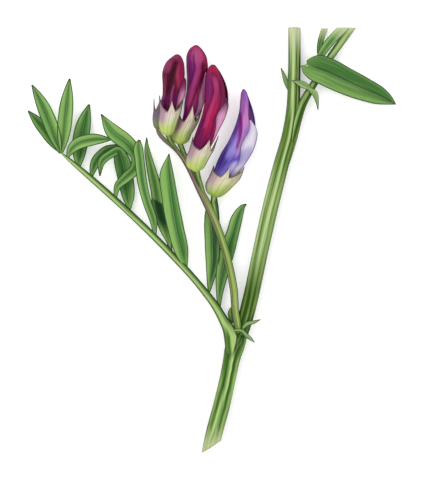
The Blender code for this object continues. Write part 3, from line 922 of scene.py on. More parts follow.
@dataclass
class CompoundLeaf:
    """The leaf at the lower node: its rachis and thirteen leaflets, four of them bent."""

    rachis: Sequence[Row] = (
        (230.2, 376, 1.9, 1.6), (231.6, 364, 2.4, 3.4), (232.3, 354, 2.7, 5.2), (231.7, 345, 2.8, 7),
        (230.9, 337, 2.7, 7.2), (228.3, 328.5, 2.5, 6.3), (223.8, 320.5, 2.15, 5.1),
        (217.6, 309.5, 1.95, 4.4), (200, 286, 1.8, 3.7), (170, 253, 1.7, 3.6), (130, 213.5, 1.6, 3.4),
        (90, 177.5, 1.3, 3.1), (60.5, 152.5, 1.1, 2.3))
    ridges: tuple[Ridge, ...] = (Ridge(0.5, 0.06, 0.05), Ridge(0.33, 0.05, 0.04), Ridge(0.67, 0.05, 0.04))
    # Bands of painted light and shade round the rachis: light along its top, dark down its sides
    skin: StalkFinish = StalkFinish(
        "rachis_green",
        ((0.30, (60, 106, 30)), (0.35, (104, 148, 64)), (0.39, (88, 134, 50)), (0.465, (76, 122, 40)),
         (0.49, (176, 210, 120)), (0.62, (200, 228, 140)), (0.66, (120, 164, 74))),
        (Stage(0.13, 0.19, (
            (0.30, (92, 136, 60)), (0.38, (112, 156, 74)), (0.43, (192, 218, 142)),
            (0.50, (178, 208, 126)), (0.54, (112, 156, 72)), (0.66, (62, 104, 42)))),),
        rim=(0.12, 0.17), strokes=17, light_strokes=0.35, plain_start=0.17)
    plain: dict[str, tuple[Sequence[Row], float, LeafFinish]] = field(default_factory=lambda: {
        "end_left": (((60, 152, 0.9), (44, 129.5, 0.5), (27, 110, 0.35)), 6, DIM),
        "end_upper": (((60, 153, 1.3), (50.5, 124, 2.2), (40.5, 101, 2.4), (31.5, 84.5, 2.2)), 7, CLEAR),
        "end_right": (((61, 152.5, 1.4), (64.4, 125, 2.1), (67.4, 96, 2.2), (69.3, 78, 1.8)), 7.2, PALE),
        "second_dark": (((78, 167, 1), (79.3, 145, 0.7), (83.5, 122, 0.6), (88.5, 103.5, 0.6)), 8, DIM),
        "second_side": (((67, 157, 1.4), (73, 147, 2.4), (88, 140.5, 2.9), (112, 139, 2)), 6.2, PALE),
        "third_dark": (((91, 177, 1.3), (94.5, 163, 1.2), (104, 151.5, 0.9), (121, 144, 0.8)), 5, DIM),
    })
    shaped: dict[str, tuple[Sequence[Row], LeafFinish]] = field(default_factory=lambda: {
        "drooping_back": (
            ((129, 210, 1.4, 1.5), (128, 197, 0.9, 6), (124.5, 175, 0.7, 8), (121, 158, 1.6, 7.6),
             (118.5, 151.2, 3, 5), (110, 155, 4.2, 4.2), (102.5, 161, 4, 4), (99.8, 176, 3, 0.5)),
            LeafFinish(Tone.DARK, Tone.MID)),
        "curled_front": (
            ((115, 198, 1.5, 1.5), (117.5, 186, 2.2, 3.6), (126, 177.5, 2.3, 5.2),
             (135, 168.5, 2.1, 5.6), (137, 157, 2.2, 6.2), (130, 146, 2.8, 7.4),
             (112, 130.5, 3.2, 7.2), (101, 114, 2.8, 0.5)), CLEAR),
        "upright_folded": (
            ((155, 236, 1.6, 1.4), (153.5, 221, 2.8, 3.8), (147.5, 203, 4, 4.4), (143, 185, 4.3, 4.8),
             (139.8, 160, 4.4, 4.8), (138.4, 145, 4, 3.6, 4), (139.4, 140, 3.7, 1, 1.4)),
            LeafFinish(Tone.LIGHT, Tone.MID)),
        "twisted_dark": (
            ((171, 252, 1.5, 1.4), (168.8, 242, 1, 2.6, 2.8), (165.8, 231, 0.7, 5.4, 5.6),
             (161.6, 217, 0.55, 6.6, 6.8), (158.5, 205, 0.6, 6.8, 6.4), (156.2, 193, 0.75, 5.6, 5.8),
             (153.4, 179, 1.1, 5.2, 5.4), (149.9, 164, 1.6, 4, 4.2), (147, 150, 1.8, 2.8),
             (146.4, 137, 1.8, 0.4)), LeafFinish(Tone.LIGHT, Tone.LIGHT, folded=True, deepen=1)),
        "hidden_pale": (
            ((209, 292, 1.3, 1.2), (210, 284, 1, 3), (212.3, 262, 0.7, 6.6, 6.8),
             (212.2, 240, 0.5, 7.6, 7.8), (211.8, 222, 0.45, 7.6, 7.8), (212.4, 211, 0.4, 6.8),
             (214.4, 204, 0.4, 4.4), (217, 198, 0.4, 0.4)), LeafFinish(Tone.LIGHT, Tone.DEEP)),
        "lowest": (
            ((219, 309, 1.5, 1.4), (219.6, 292, 1.1, 3.6, 3.8), (222.4, 272, 0.8, 6.4, 6.5),
             (227.6, 250, 0.55, 7.6), (233, 232, 0.45, 6.2, 6.4), (237.2, 217.5, 0.4, 5.6),
             (240.9, 210, 0.4, 4, 3.6), (243.6, 206, 0.4, 2.2, 1.9), (246.8, 203.8, 0.4, 0.4)), SHADED),
        "front_large": (
            ((186, 269, 1.6, 1.4), (181.5, 252, 2.6, 6.6, 7), (176, 228, 3.3, 8.4, 8),
             (171, 196, 3.4, 9.4, 6.6), (168.3, 172, 3, 8.2, 5), (169, 153.5, 2.4, 0.5)), SHADED),
    })

    def build(self) -> None:
        """Make the rachis and every leaflet."""
        stalk = Stalk("leaf_rachis", self.rachis, self.ridges, round_end=True)
        blades = [
            (Blade(f"leaflet_{name}", leaflet(path, half)), finish)
            for name, (path, half, finish) in self.plain.items()
        ] + [
            (Blade(f"leaflet_{name}", stations, lift=0.35, rows=72), finish)
            for name, (stations, finish) in self.shaped.items()
        ]
        made = {finish: finish.make() for finish in dict.fromkeys(finish for _, finish in blades)}
        pieces = [stalk.build(self.skin.make())]
        pieces += [blade.build(made[finish]) for blade, finish in blades]
        stand_in(pieces, "compound_leaf", "leaf_green")


@dataclass
class Stem:
    """The ridged main stem with its two cut ends and what grows out of its nodes."""

    lower: Sequence[Row] = (
        (211.4, 446.6, 1.86, 8.9), (213.4, 437, 1.86, 8.9), (221.8, 405, 1.86, 8.9),
        (229.2, 372, 1.86, 8.6), (232, 358, 1.86, 9.1), (235.1, 346, 1.86, 10.3),
        (238.6, 337, 1.86, 9.6), (240, 331.5, 1.86, 9.2), (240.6, 328.5, 1.86, 7.6))
    upper: Sequence[Row] = (
        (237.4, 346, 1.75, 7), (241.4, 332, 1.78, 7.9), (245.9, 317, 1.8, 8.2), (250.7, 298, 1.8, 8.2),
        (260.9, 250, 1.8, 8.2), (272.3, 200, 1.8, 8.4), (282, 162, 1.72, 8.1), (289, 136, 1.6, 7.6),
        (293, 110, 1.5, 7), (294.5, 75, 1.42, 6.6), (294.8, 27.2, 1.42, 6.5))
    ridges: tuple[Ridge, ...] = tuple(Ridge(k / 6, 0.09, 0.045) for k in range(1, 7))
    cut: tuple[Pair, Pair] = ((201.0, 453.5), (222.0, 440.0))
    stipules: dict[str, Sequence[Row]] = field(default_factory=lambda: {
        "stipule_lower_upper": ((243, 327.5, 4, 1.6), (247.5, 323.6, 4, 2.1), (254, 322, 3.6, 1.7),
                                (260.5, 319.5, 3, 0.3)),
        "stipule_lower_side": ((233.6, 330.4, 4.5, 1.2), (237.5, 329.8, 4.8, 1.5),
                               (241.8, 330.6, 4.7, 1.6), (246.2, 335, 4.2, 2),
                               (250.5, 338.6, 3.3, 1.7), (254.5, 342.5, 2.6, 0.3)),
        "stipule_upper_left": ((289.5, 89, 1, 1.6), (286.4, 81, 0.9, 2.4), (284, 74, 0.9, 1.7),
                               (281.3, 66.8, 0.9, 0.3)),
        "stipule_upper_front": ((309.5, 88.5, 3, 2, 2.6), (302.5, 84.6, 3.5, 3.4),
                                (296.5, 82.3, 3.5, 2), (292, 80.8, 3.5, 0.3)),
        "stipule_upper_right": ((308.8, 88.6, 3, 2.2), (314.8, 94, 3.2, 3), (317.1, 101, 2.6, 1.8),
                                (318.4, 110.2, 2, 0.3)),
    })
    bud: Sequence[Row] = (
        (232.4, 323.5, 1, 1.2), (231, 318.5, 1, 2.4), (230.2, 312.5, 1, 2.3), (230.8, 307.5, 1, 0.5))

    def build(self) -> None:
        """Make the stem, its cut faces, the stipules and the axillary bud."""
        low = Stalk("stem_lower_length", self.lower, self.ridges, columns=96, start_line=self.cut,
                    round_end=True)
        high = Stalk("stem_upper_length", self.upper, self.ridges, rows=130, columns=96)
        face = CutFinish().make()
        pieces = [
            low.build(self.lower_skin().make()), high.build(self.upper_skin().make()),
            CutFace(low, False).build(face), CutFace(high, True).build(face),
        ]
        stand_in(pieces, "main_stem", "stem_green")
        self.build_small()

    @staticmethod
    def upper_skin() -> StalkFinish:
        """The finish of the length above the lower node.

        Returns:
            The finish.
        """
        # Bands of painted light and shade round the stem: pale and light along its lit top and ridges, dark
        # and deep down its shaded sides and grooves
        dark, deep, mid = (46, 80, 12), (78, 114, 34), (118, 154, 66)
        light, pale = (164, 194, 118), (200, 224, 156)
        foot = ((0.30, dark), (0.37, deep), (0.40, mid), (0.43, dark), (0.475, dark), (0.50, mid),
                (0.53, deep), (0.545, dark), (0.60, deep), (0.66, dark))
        middle = ((0.31, mid), (0.36, pale), (0.40, mid), (0.42, light), (0.46, light), (0.485, pale),
                  (0.53, pale), (0.545, mid), (0.60, light), (0.67, deep))
        upper = ((0.31, dark), (0.36, light), (0.40, mid), (0.44, deep), (0.475, mid), (0.50, pale),
                 (0.53, light), (0.545, dark), (0.61, mid), (0.67, dark))
        top = ((0.31, deep), (0.36, light), (0.42, light), (0.455, pale), (0.49, pale), (0.515, mid),
               (0.54, dark), (0.575, deep), (0.60, light), (0.625, dark), (0.67, dark))
        stages = (Stage(0.16, 0.34, middle), Stage(0.46, 0.60, upper), Stage(0.70, 0.80, top))
        return StalkFinish("stem_upper_skin", foot, stages, rim=(0.155, 0.20), pale_top=0.10)

    @staticmethod
    def lower_skin() -> StalkFinish:
        """The finish of the length below the lower node.

        Returns:
            The finish.
        """
        # Bands of painted light and shade round the stem: pale and light along its lit top and ridges, dark
        # and deep down its shaded sides and grooves
        dark, deep, mid = (38, 84, 14), (82, 124, 38), (122, 164, 76)
        light, pale = (158, 194, 112), (192, 224, 148)
        foot = ((0.31, deep), (0.36, mid), (0.40, deep), (0.43, mid), (0.46, pale), (0.49, light),
                (0.53, mid), (0.56, dark), (0.61, light), (0.67, deep))
        middle = ((0.31, dark), (0.36, light), (0.40, deep), (0.43, dark), (0.475, mid), (0.505, pale),
                  (0.525, pale), (0.54, dark), (0.59, deep), (0.63, light))
        collar = ((0.31, deep), (0.50, dark), (0.61, dark), (0.645, mid), (0.67, mid), (0.70, dark))
        return StalkFinish("stem_lower_skin", foot, (Stage(0.28, 0.55, middle), Stage(0.72, 0.84, collar)),
                           rim=(0.155, 0.20), light_strokes=0.25, pale_foot=0.22)

    def build_small(self) -> None:
        """Make the stipules and the bud."""
        skin = LeafFinish(Tone.PALE, Tone.LIGHT, outline_mm=0.16).make()
        for name, stations in self.stipules.items():
            blade = Blade(f"{name}_blade", stations, lift=0.12, rows=26, columns=10, wall_mm=0.3,
                          groove_mm=0.03, ripple_mm=0.0)
            stand_in([blade.build(skin)], name, "stipule_green")
        # Bands of painted light and shade round the bud: light along its top, dark down its sides
        dark = (60, 104, 40)
        green = StalkFinish(
            "bud_green", ((0.0, dark), (0.3, (96, 148, 64)), (0.5, (150, 190, 104)), (0.75, dark)),
            (Stage(0.5, 0.9, ((0.0, dark), (0.5, (136, 178, 92)), (0.75, dark))),))
        bud = Stalk("axillary_bud_tip", self.bud, rows=30, columns=32, round_end=True)
        stand_in([bud.build(green.make())], "axillary_bud", "stipule_green")


@dataclass
class UpperLeaf:
    """The second leaf: its stalk, cut off, with one whole leaflet and two cut ones."""

    top: float = 27.2
    stalk: Sequence[Row] = (
        (284.5, 172, 1.2, 2.2), (288, 157, 1.5, 4), (291.4, 143, 1.75, 5), (294.4, 130, 1.85, 5.4),
        (298.2, 116, 1.9, 5.1), (303, 103, 1.95, 4.6), (309.2, 91.5, 2, 4.2), (315, 82, 1.9, 3.9),
        (322, 70, 1.7, 3.8), (330.5, 57, 1.5, 3.9), (342, 40.5, 1.2, 4.1), (351.2, 27.2, 1.1, 4.5))
    ridges: tuple[Ridge, ...] = (Ridge(0.5, 0.07, 0.04), Ridge(0.36, 0.06, 0.04), Ridge(0.64, 0.06, 0.04))
    foot: Sequence[Row] = ((321, 71.5, 1.7, 1.6), (314, 68.5, 2.6, 1.6), (305.5, 65.2, 3.3, 1.5))
    whole: Sequence[Row] = (
        (306.2, 64.4, 3.3, 6.5, 7), (308.6, 65.8, 3.3, 9.8, 9.2), (312.5, 67.6, 3.3, 13.2, 11.6),
        (325, 72, 3.2, 14.8, 13.6), (345, 80.7, 2.5, 13.6), (366, 89.7, 1.6, 11.8, 11.4),
        (382, 96.4, 0.9, 9, 8), (391, 100.6, 0.6, 5, 3.6), (397, 103.5, 0.5, 0.3))
    front: Sequence[Row] = (
        (323, 66, 2.2, 1.4), (321, 56, 2.6, 3.6, 3.4), (326, 47, 2.7, 4.4), (335, 36, 2.6, 4.6),
        (343, 27.2, 2.4, 4.6))
    back: Sequence[Row] = (
        (324, 64, 1.2, 1.6), (319.7, 51, 0.9, 2.2), (321.5, 39, 0.7, 3), (325.2, 27.2, 0.7, 3.4))
    # Bands of painted light and shade round the leaf stalk: light along its top, dark down its sides
    skin: StalkFinish = StalkFinish(
        "petiole_skin",
        ((0.0, (46, 80, 12)), (0.30, (66, 100, 26)), (0.39, (104, 140, 54)), (0.445, (196, 222, 150)),
         (0.50, (130, 166, 84)), (0.54, (48, 80, 12)), (0.66, (80, 114, 36)), (0.75, (46, 80, 12))),
        (Stage(0.5, 0.9, (
            (0.0, (52, 92, 26)), (0.25, (50, 100, 34)), (0.38, (122, 176, 80)), (0.5, (198, 218, 150)),
            (0.62, (110, 162, 72)), (0.75, (46, 92, 30)))),),
        pale_top=0.06, plain_start=0.34, plain_left=True)
    cut_end: Paint = (206, 218, 172)
    cut_from: float = 0.6

    def build(self) -> None:
        """Make the stalk and its leaflets."""
        line = ((400.0, self.top), (270.0, self.top))
        stalk = Stalk("upper_petiole", self.stalk, self.ridges, rows=110, end_line=line)
        green = self.skin.make()
        pieces = [
            stalk.build(green),
            CutFace(stalk, True).build(CutFinish("cut_petiole").make()),
            Stalk("upper_petiolule", self.foot, rows=24, columns=28).build(green),
            Blade("leaflet_whole", self.whole, lift=0.12, rows=110, columns=36, lobes_mm=(0.35, 0.8)).build(
                LeafFinish(Tone.DARK, Tone.LIGHT, outline_mm=0.27, deepen=0.68, strokes=(7.0, 1.2)).make()),
        ]
        for name, stations, left, right in (
            ("front", self.front, Tone.LIGHT, Tone.MID), ("back", self.back, Tone.MID, Tone.DARK),
        ):
            finish = LeafFinish(left, right, end=self.cut_end, end_from=self.cut_from)
            blade = Blade(f"leaflet_cut_{name}", stations, lift=0.15, level_end=True)
            pieces.append(blade.build(finish.make()))
        stand_in(pieces, "upper_leaf", "leaf_green")


@dataclass
class FlowerStalk:
    """The peduncle with the short pedicels of its florets."""

    path: Sequence[Row] = (
        (240.3, 342, 2, 3.4), (238.4, 330, 2.65, 4), (236.8, 320, 2.95, 4.1), (235.9, 315.5, 3, 4),
        (233.8, 290, 2.9, 4.2), (229.2, 265, 2.9, 4), (222, 240, 2.9, 4.1), (214, 219, 2.85, 4.2),
        (205.2, 200, 2.75, 4.1), (199.4, 189, 2.6, 3.6), (193.2, 176.5, 2.4, 3.1),
        (187.2, 165, 2.25, 2.8), (180.8, 155, 2.15, 2.5), (172, 145.8, 1.95, 2.3),
        (164.4, 139.5, 1.8, 2.5), (158, 131.5, 1.6, 2.8), (156, 125.5, 1.5, 2.4))
    ridges: tuple[Ridge, ...] = (Ridge(0.5, 0.06, 0.05), Ridge(0.34, 0.05, 0.04), Ridge(0.66, 0.05, 0.04))
    pedicels: dict[str, Sequence[Row]] = field(default_factory=lambda: {
        "first": (
            (179, 152, 2, 1.6), (174.6, 146.6, 2.8, 2), (170.6, 141.5, 4, 2.2), (168.2, 135.5, 5.1, 2.5)),
        "second": (
            (188, 161, 2.2, 1.8), (184.8, 155, 2.5, 2.4), (181.8, 148, 2.6, 2.6), (179.8, 143, 2.7, 2.8)),
        "third": ((204, 195, 2.5, 1.8), (201.2, 186, 3.2, 2.3), (198, 176, 4.2, 2.6), (196.4, 169, 5, 2.9)),
        "fourth": (
            (216.8, 220, 2.6, 2), (215, 211, 2.75, 2.4), (213.4, 203, 2.5, 2.8), (214.2, 195.5, 2.15, 3.1)),
    })
    # Bands of painted light and shade round the peduncle and pedicels: light along the top, dark down the
    # sides; the peduncle turns mauve towards the florets
    skin: StalkFinish = StalkFinish(
        "peduncle_skin",
        ((0.0, (70, 92, 46)), (0.25, (78, 92, 46)), (0.36, (128, 132, 84)), (0.44, (132, 154, 78)),
         (0.53, (182, 208, 118)), (0.61, (130, 166, 78)), (0.75, (60, 94, 36))),
        (Stage(0.40, 0.76, (
            (0.0, (84, 70, 66)), (0.28, (100, 72, 76)), (0.40, (158, 128, 126)), (0.50, (146, 120, 112)),
            (0.545, (116, 108, 78)), (0.60, (146, 166, 96)), (0.70, (84, 92, 54)))),),
        dark_stroke=(70, 60, 48))
    short: StalkFinish = StalkFinish(
        "pedicel_skin",
        ((0.0, (50, 84, 38)), (0.33, (62, 98, 44)), (0.42, (110, 144, 78)), (0.53, (150, 182, 104)),
         (0.64, (78, 114, 52)), (0.75, (56, 92, 40))),
        (Stage(0.5, 0.9, (
            (0.0, (50, 84, 38)), (0.33, (70, 106, 48)), (0.5, (150, 180, 98)), (0.66, (74, 112, 50)))),),
        rim=(0.13, 0.18))

    def build(self) -> None:
        """Make the peduncle and its pedicels."""
        stalk = Stalk("flower_stalk", self.path, self.ridges, rows=160, round_end=True)
        pieces = [stalk.build(self.skin.make())]
        green = self.short.make()
        for name, path in self.pedicels.items():
            pieces.append(Stalk(f"pedicel_{name}", path, rows=24, columns=36).build(green))
        stand_in(pieces, "peduncle", "stalk_mauve")


class Patch(NamedTuple):
    """A soft patch of colour on a petal, in sheet units: some are the petal's own colour, some painted
    highlights and some painted shade.
    """

    colour: Paint
    centre: Pair
    reach: Pair
    strength: float = 0.85


class Line(NamedTuple):
    """A fold with a dark line of painted shadow, or a ridge with a pale line of painted highlight, through
    sheet points from the petal's foot to its top.
    """

    colour: Paint
    points: tuple[Pair, ...]
    width: float
    strength: float
    depth_mm: float

    def places(self, chart: Chart) -> list[Pair]:
        """Its points as shares along and across a floret's petals, from the foot up."""
        return sorted(chart.locate(*point)[::-1] for point in self.points)


class Chart(Path):
    """The sections of a floret's petals, which turn sheet points into places on a petal.

    A section is (left x, left y, right x, right y, half depth in mm), and then how far the
    standard reaches across it on its near and far face.
    """

    def __init__(self, rows: Sequence[Row]) -> None:
        """Read the sections at even steps, with their mean width and their length.

        Args:
            rows: The sections from foot to top.
        """
        super().__init__(rows, 121)
        self.width = float(np.mean(np.linalg.norm(self.table[:, 2:4] - self.table[:, :2], axis=1)))
        ends = self.table[[0, -1], :4]
        middle = (ends[:, :2] + ends[:, 2:4]) / 2
        self.length = float(np.linalg.norm(middle[1] - middle[0]))

    def locate(self, x: float, y: float) -> Pair:
        """Find a sheet point on the petals.

        Args:
            x: Sheet place to the right.
            y: Sheet place downwards.

        Returns:
            The share across from the left, and the share along from the foot.
        """
        left = self.table[:, :2]
        run = self.table[:, 2:4] - left
        away = np.array((x, y)) - left
        width = np.linalg.norm(run, axis=1)
        off = np.abs(run[:, 0] * away[:, 1] - run[:, 1] * away[:, 0]) / width
        k = int(np.argmin(off))
        return float(away[k] @ run[k]) / float(width[k]) ** 2, k / self.last


@dataclass(frozen=True)
class PetalFinish:
    """A petal: colours along it, soft patches, painted shadows in its folds and painted highlights on its
    ridges, long veins and a dark margin.
    """

    name: str
    along: Bands
    patches: tuple[Patch, ...] = ()
    lines: tuple[Line, ...] = ()
    vein: Paint = (90, 8, 50)
    light: Paint = (205, 85, 140)
    outline: Paint = (70, 6, 40)
    outline_mm: float = 0.15
    vein_strength: float = 0.5
    deepen: float = 0.76

    def make(self, chart: Chart) -> Material:
        """Build the material.

        Args:
            chart: The sections of the floret that it goes on.

        Returns:
            The finished material.
        """
        recipe = Recipe(self.name)
        across, along = recipe.readings("flow")
        margin, fold = recipe.readings("edge")
        place = abs(across)
        shift = (recipe.grain(across, along, (4.0, 6.0), 7.7, 2.0) - 0.5) * 0.10
        x, y = place + shift, along + shift * 0.4
        veins = recipe.grain(across, along, (24.0, 2.6), 3.3)
        recipe.colour = recipe.bands(y, self.along)
        for colour, centre, (wide, long), strength in self.patches:
            spot = recipe.spot((x, y), chart.locate(*centre), (wide / chart.width, long / chart.length))
            recipe.paint(spot * strength, colour)
        recipe.layer(veins, Fade(0.50, 0.68, 0.0, self.vein_strength), self.vein)
        recipe.layer(veins, Fade(0.30, 0.45, self.vein_strength * 0.7, 0.0), self.light)
        # painted shadows along the folds and painted highlights along the ridges
        for line in self.lines:
            places = line.places(chart)
            width = line.width / chart.width
            middle = recipe.ramp(y, [(v, (u, u, u, 1.0)) for v, u in places])
            first, last = places[0][0], places[-1][0]
            share = abs(x - middle).fade(Fade(width * 0.25, width, line.strength, 0.0))
            share *= along.fade(Fade(first - 0.04, first + 0.02))
            share *= along.fade(Fade(last - 0.02, last + 0.04, 1.0, 0.0))
            recipe.paint(share, line.colour)
        recipe.layer(margin, Fade(self.outline_mm * 0.4, self.outline_mm, 0.85, 0.0), self.outline)
        # painted shade: dark bands beside the dorsal fold and at both ends of the ring, where the petal
        # turns away from the light
        recipe.layer(fold, Fade(self.outline_mm * 0.5, self.outline_mm * 1.3, 0.75, 0.0), self.outline)
        recipe.layer(place.to_side(), Fade(0.010, 0.050, 0.8, 0.0), self.outline)
        recipe.relief(veins, 0.05, 0.45)
        return recipe.finish(veins * 0.2 + 0.38, 0.05, self.deepen)


def ring_point(row: Row, turn: float, middle_mm: float, grow_mm: float = 0.0) -> Vector:
    """A point of an elliptic section.

    Args:
        row: The section.
        turn: 0 at the left end, a quarter turn at the near side.
        middle_mm: The height of the section's middle.
        grow_mm: How far the point moves outwards.

    Returns:
        The place.
    """
    left, right = at(row[0], row[1], middle_mm), at(row[2], row[3], middle_mm)
    half = (right - left) / 2
    wide = half.length + grow_mm * MM
    deep = (row[4] + grow_mm) * MM
    return left + half - half.normalized() * (wide * math.cos(turn)) + Vector((0, 0, deep * math.sin(turn)))


def width_mm(row: Row) -> float:
    """The width of a section in millimetres."""
    return math.hypot(row[2] - row[0], row[3] - row[1]) * UNIT_MM


class Tooth(NamedTuple):
    """A calyx tooth: the turn in degrees where it starts, that of its tip, and its length."""

    start: float
    tip: float
    length: float


@dataclass
class Calyx:
    """A cup with five pointed teeth and fine ribs."""

    number: int
    middle_mm: float
    sections: Sequence[Row]
    teeth: tuple[Tooth, ...]
    flare: float = 0.06
    wall_mm: float = 0.36
    rib_mm: float = 0.05
    cup_share: float = 0.66
    tooth_margin: float = 0.34
    tip_thinning: float = 0.6
    columns: int = 110

    def __post_init__(self) -> None:
        """Read the cup, and the way its teeth point: between along the cup and square to its rim."""
        below, self.rim = (np.array(row[:5], dtype=float) for row in self.sections[-2:])
        run = self.rim[2:4] - self.rim[:2]
        lean = (self.rim - below)[:4].reshape(2, 2).sum(axis=0)
        lean = lean / np.linalg.norm(lean) + np.array([run[1], -run[0]]) / np.linalg.norm(run)
        self.lean = lean / np.linalg.norm(lean)
        self.cup = Path(self.sections, 61)
        self.depth = float(np.linalg.norm(self.cup.table[-1][:2] - self.cup.table[0][:2]))
        self.longest = max(tooth.length for tooth in self.teeth)

    def tooth_at(self, column: int) -> tuple[float, float]:
        """The turn in degrees and the height of the teeth's edge at a column.

        Args:
            column: The column.

        Returns:
            The turn and the height.
        """
        count = len(self.teeth)
        per_tooth = self.columns // count
        index, step = divmod(column, per_tooth)
        start, tip, length = self.teeth[index % count]
        after = self.teeth[(index + 1) % count].start
        end = after + (360.0 if after < start else 0.0)
        turn = start + (end - start) * step / per_tooth
        peak = min((turn - start) / (tip - start), (end - turn) / (end - tip))
        return turn, length * (0.75 * peak ** 1.25 + 0.25 * peak ** 6)

    def place(self, u: float, v: float) -> Point:
        """A point of the calyx.

        Args:
            u: The way round from the first tooth's start.
            v: The way up from the foot.

        Returns:
            The point.
        """
        column = round(u * self.columns)
        degrees, height = self.tooth_at(column)
        turn = math.radians(degrees)
        around = (degrees - self.teeth[0].start) / 360.0 + (1.0 if column == self.columns else 0.0)
        share = min(v / self.cup_share, 1.0)
        rise = height * max(v - self.cup_share, 0.0) / (1 - self.cup_share)
        if rise:
            spread = np.array([-self.lean[1], self.lean[0]]) * rise * self.flare
            up = self.lean * rise
            row = self.rim + np.array([*(up - spread), *(up + spread), rise * UNIT_MM * self.flare])
        else:
            row = self.cup.read(share)
        rib = 0.5 * math.cos(RIBS * FULL_TURN * (around + 0.05)) - 0.5
        spot = ring_point(row, turn, self.middle_mm, self.rib_mm * rib * ease(share, 0.1, 0.4))
        spot.z = max(spot.z, 0.0)
        margin_mm = ((1 - share) * self.depth + height - rise) * self.tooth_margin * UNIT_MM
        along = (share * self.depth + rise) / (self.depth + self.longest)
        wall = 1.0 - self.tip_thinning * rise / self.longest
        return Point(spot, (across_of(turn), along), (margin_mm, around), wall)

    def build(self, material: Material, slot: str = "calyx_cream") -> None:
        """Make the calyx.

        Args:
            material: Its finish.
            slot: The name of its material slot, passed on to stand_in.
        """
        surface = Surface(64, self.columns, self.place, closed=True, wall_mm=self.wall_mm, outward=-1.0)
        node = f"calyx_{self.number}"
        stand_in([surface.build(f"{node}_cup", material)], node, slot)


@dataclass
class Floret:
    """A floret: its calyx, its folded standard petal, and its wings on the keel."""

    number: int
    middle_mm: float
    calyx: Sequence[Row]
    teeth: tuple[Tooth, ...]
    petals: Sequence[Row]
    outer: PetalFinish
    inner: PetalFinish
    cup: CalyxFinish
    flare: float = 0.06
    slots: tuple[str, str] = ("petal_magenta", "wing_pink")
    wall_mm: float = 0.32
    clear_mm: float = 0.75
    least_width: float = 0.35
    least_depth_mm: float = 0.08
    wings_reach: float = 0.72
    most_reach: float = 0.97
    ripple_mm: float = 0.05
    ripple_pace: float = 23.0
    crease_spread: float = 1.4
    crease_fade: float = 0.05
    tip_margin_mm: float = 10.0
    thinning: float = 0.6
    seam_mm: float = 0.14
    hub_share: float = 0.62
    least_closing: float = 0.0004

    def __post_init__(self) -> None:
        """Read the petals' sections and where the outer one is creased."""
        self.chart = Chart(self.petals)
        self.creases = [
            (np.array(line.places(self.chart)), line) for line in self.outer.lines if line.depth_mm
        ]

    def standard_point(self, u: float, v: float) -> Point:
        """A point of the standard, a sheet folded along its left side and open on the right.

        Args:
            u: The way across from its far edge, round the fold.
            v: The way up from its foot.

        Returns:
            The point.
        """
        row = self.chart.read(v)
        near, far = (math.acos(1 - 2 * min(limit, self.most_reach)) for limit in row[5:7])
        turn = (near + far) * u - far
        width = width_mm(row)
        share = abs(across_of(turn))
        grow_mm = self.ripple_mm * math.sin(v * self.ripple_pace + self.number) * u ** 6
        if turn > 0:
            for places, line in self.creases:
                centre = float(np.interp(v, places[:, 0], places[:, 1]))
                size = line.width * self.crease_spread * UNIT_MM / width
                first, last = places[0, 0], places[-1, 0]
                ends = ease(v, first - self.crease_fade, first + self.crease_fade)
                ends *= 1 - ease(v, last - self.crease_fade, last + self.crease_fade)
                grow_mm += line.depth_mm * bump(share - centre, size) * ends
        limit = min(row[5] if turn > 0 else row[6], self.most_reach)
        margin_mm = min((limit - share) * width, (1 - v) * self.tip_margin_mm)
        spot = ring_point(row, turn, self.middle_mm, grow_mm)
        wall = 1.0 - self.thinning * v ** 6
        return Point(spot, (across_of(turn), v), (margin_mm, share * width), wall)

    def wings_point(self, u: float, v: float) -> Point:
        """A point of the wings and keel, one slim body inside the standard with a rounded end.

        Args:
            u: The way round.
            v: The way up from its foot.

        Returns:
            The point.
        """
        row = self.chart.read(v * self.wings_reach)
        left, right = row[:2], row[2:4]
        width = float(np.linalg.norm(right - left))
        clear = min(self.clear_mm / UNIT_MM, max(width - self.least_width, 0.0))
        left = left + (right - left) * (clear / width)
        slim = [*left, *right, max(row[4] - self.clear_mm, self.least_depth_mm)]
        turn = FULL_TURN * u
        closing = math.sqrt(max(1 - ease(v, 0.80, 1.0) ** 2, self.least_closing))
        closing *= math.sqrt(max(1 - (1 - ease(v, 0.0, 0.05)) ** 2, self.least_closing))
        seam_mm = -self.seam_mm * bump(math.sin(turn) - 0.45, 0.16) if math.cos(turn) < 0 else 0.0
        hub = at(*left, self.middle_mm).lerp(at(*right, self.middle_mm), self.hub_share)
        spot = hub.lerp(ring_point(slim, turn, self.middle_mm, seam_mm), closing)
        across = across_of(turn)
        margin_mm = (1 - abs(across)) * width_mm(slim) * 2.0
        return Point(spot, (across, v * self.wings_reach), (margin_mm, FAR_MM))

    def build(self) -> None:
        """Make the floret's pieces."""
        number = self.number
        Calyx(number, self.middle_mm, self.calyx, self.teeth, self.flare).build(self.cup.make())
        folded = Surface(96, 84, self.standard_point, wall_mm=self.wall_mm, outward=-1.0)
        petal = folded.build(f"standard_{number}_petal", self.outer.make(self.chart))
        stand_in([petal], f"standard_{number}", self.slots[0])
        slim = Surface(64, 56, self.wings_point, closed=True)
        wings = slim.build(f"wings_keel_{number}_body", self.inner.make(self.chart))
        stand_in([wings], f"wings_keel_{number}", self.slots[1])


MAROON = (80, 6, 42)
PURPLE = (94, 8, 84)
PINK = (224, 160, 200)
LILAC = (236, 228, 246)
ROSE = (120, 40, 90)
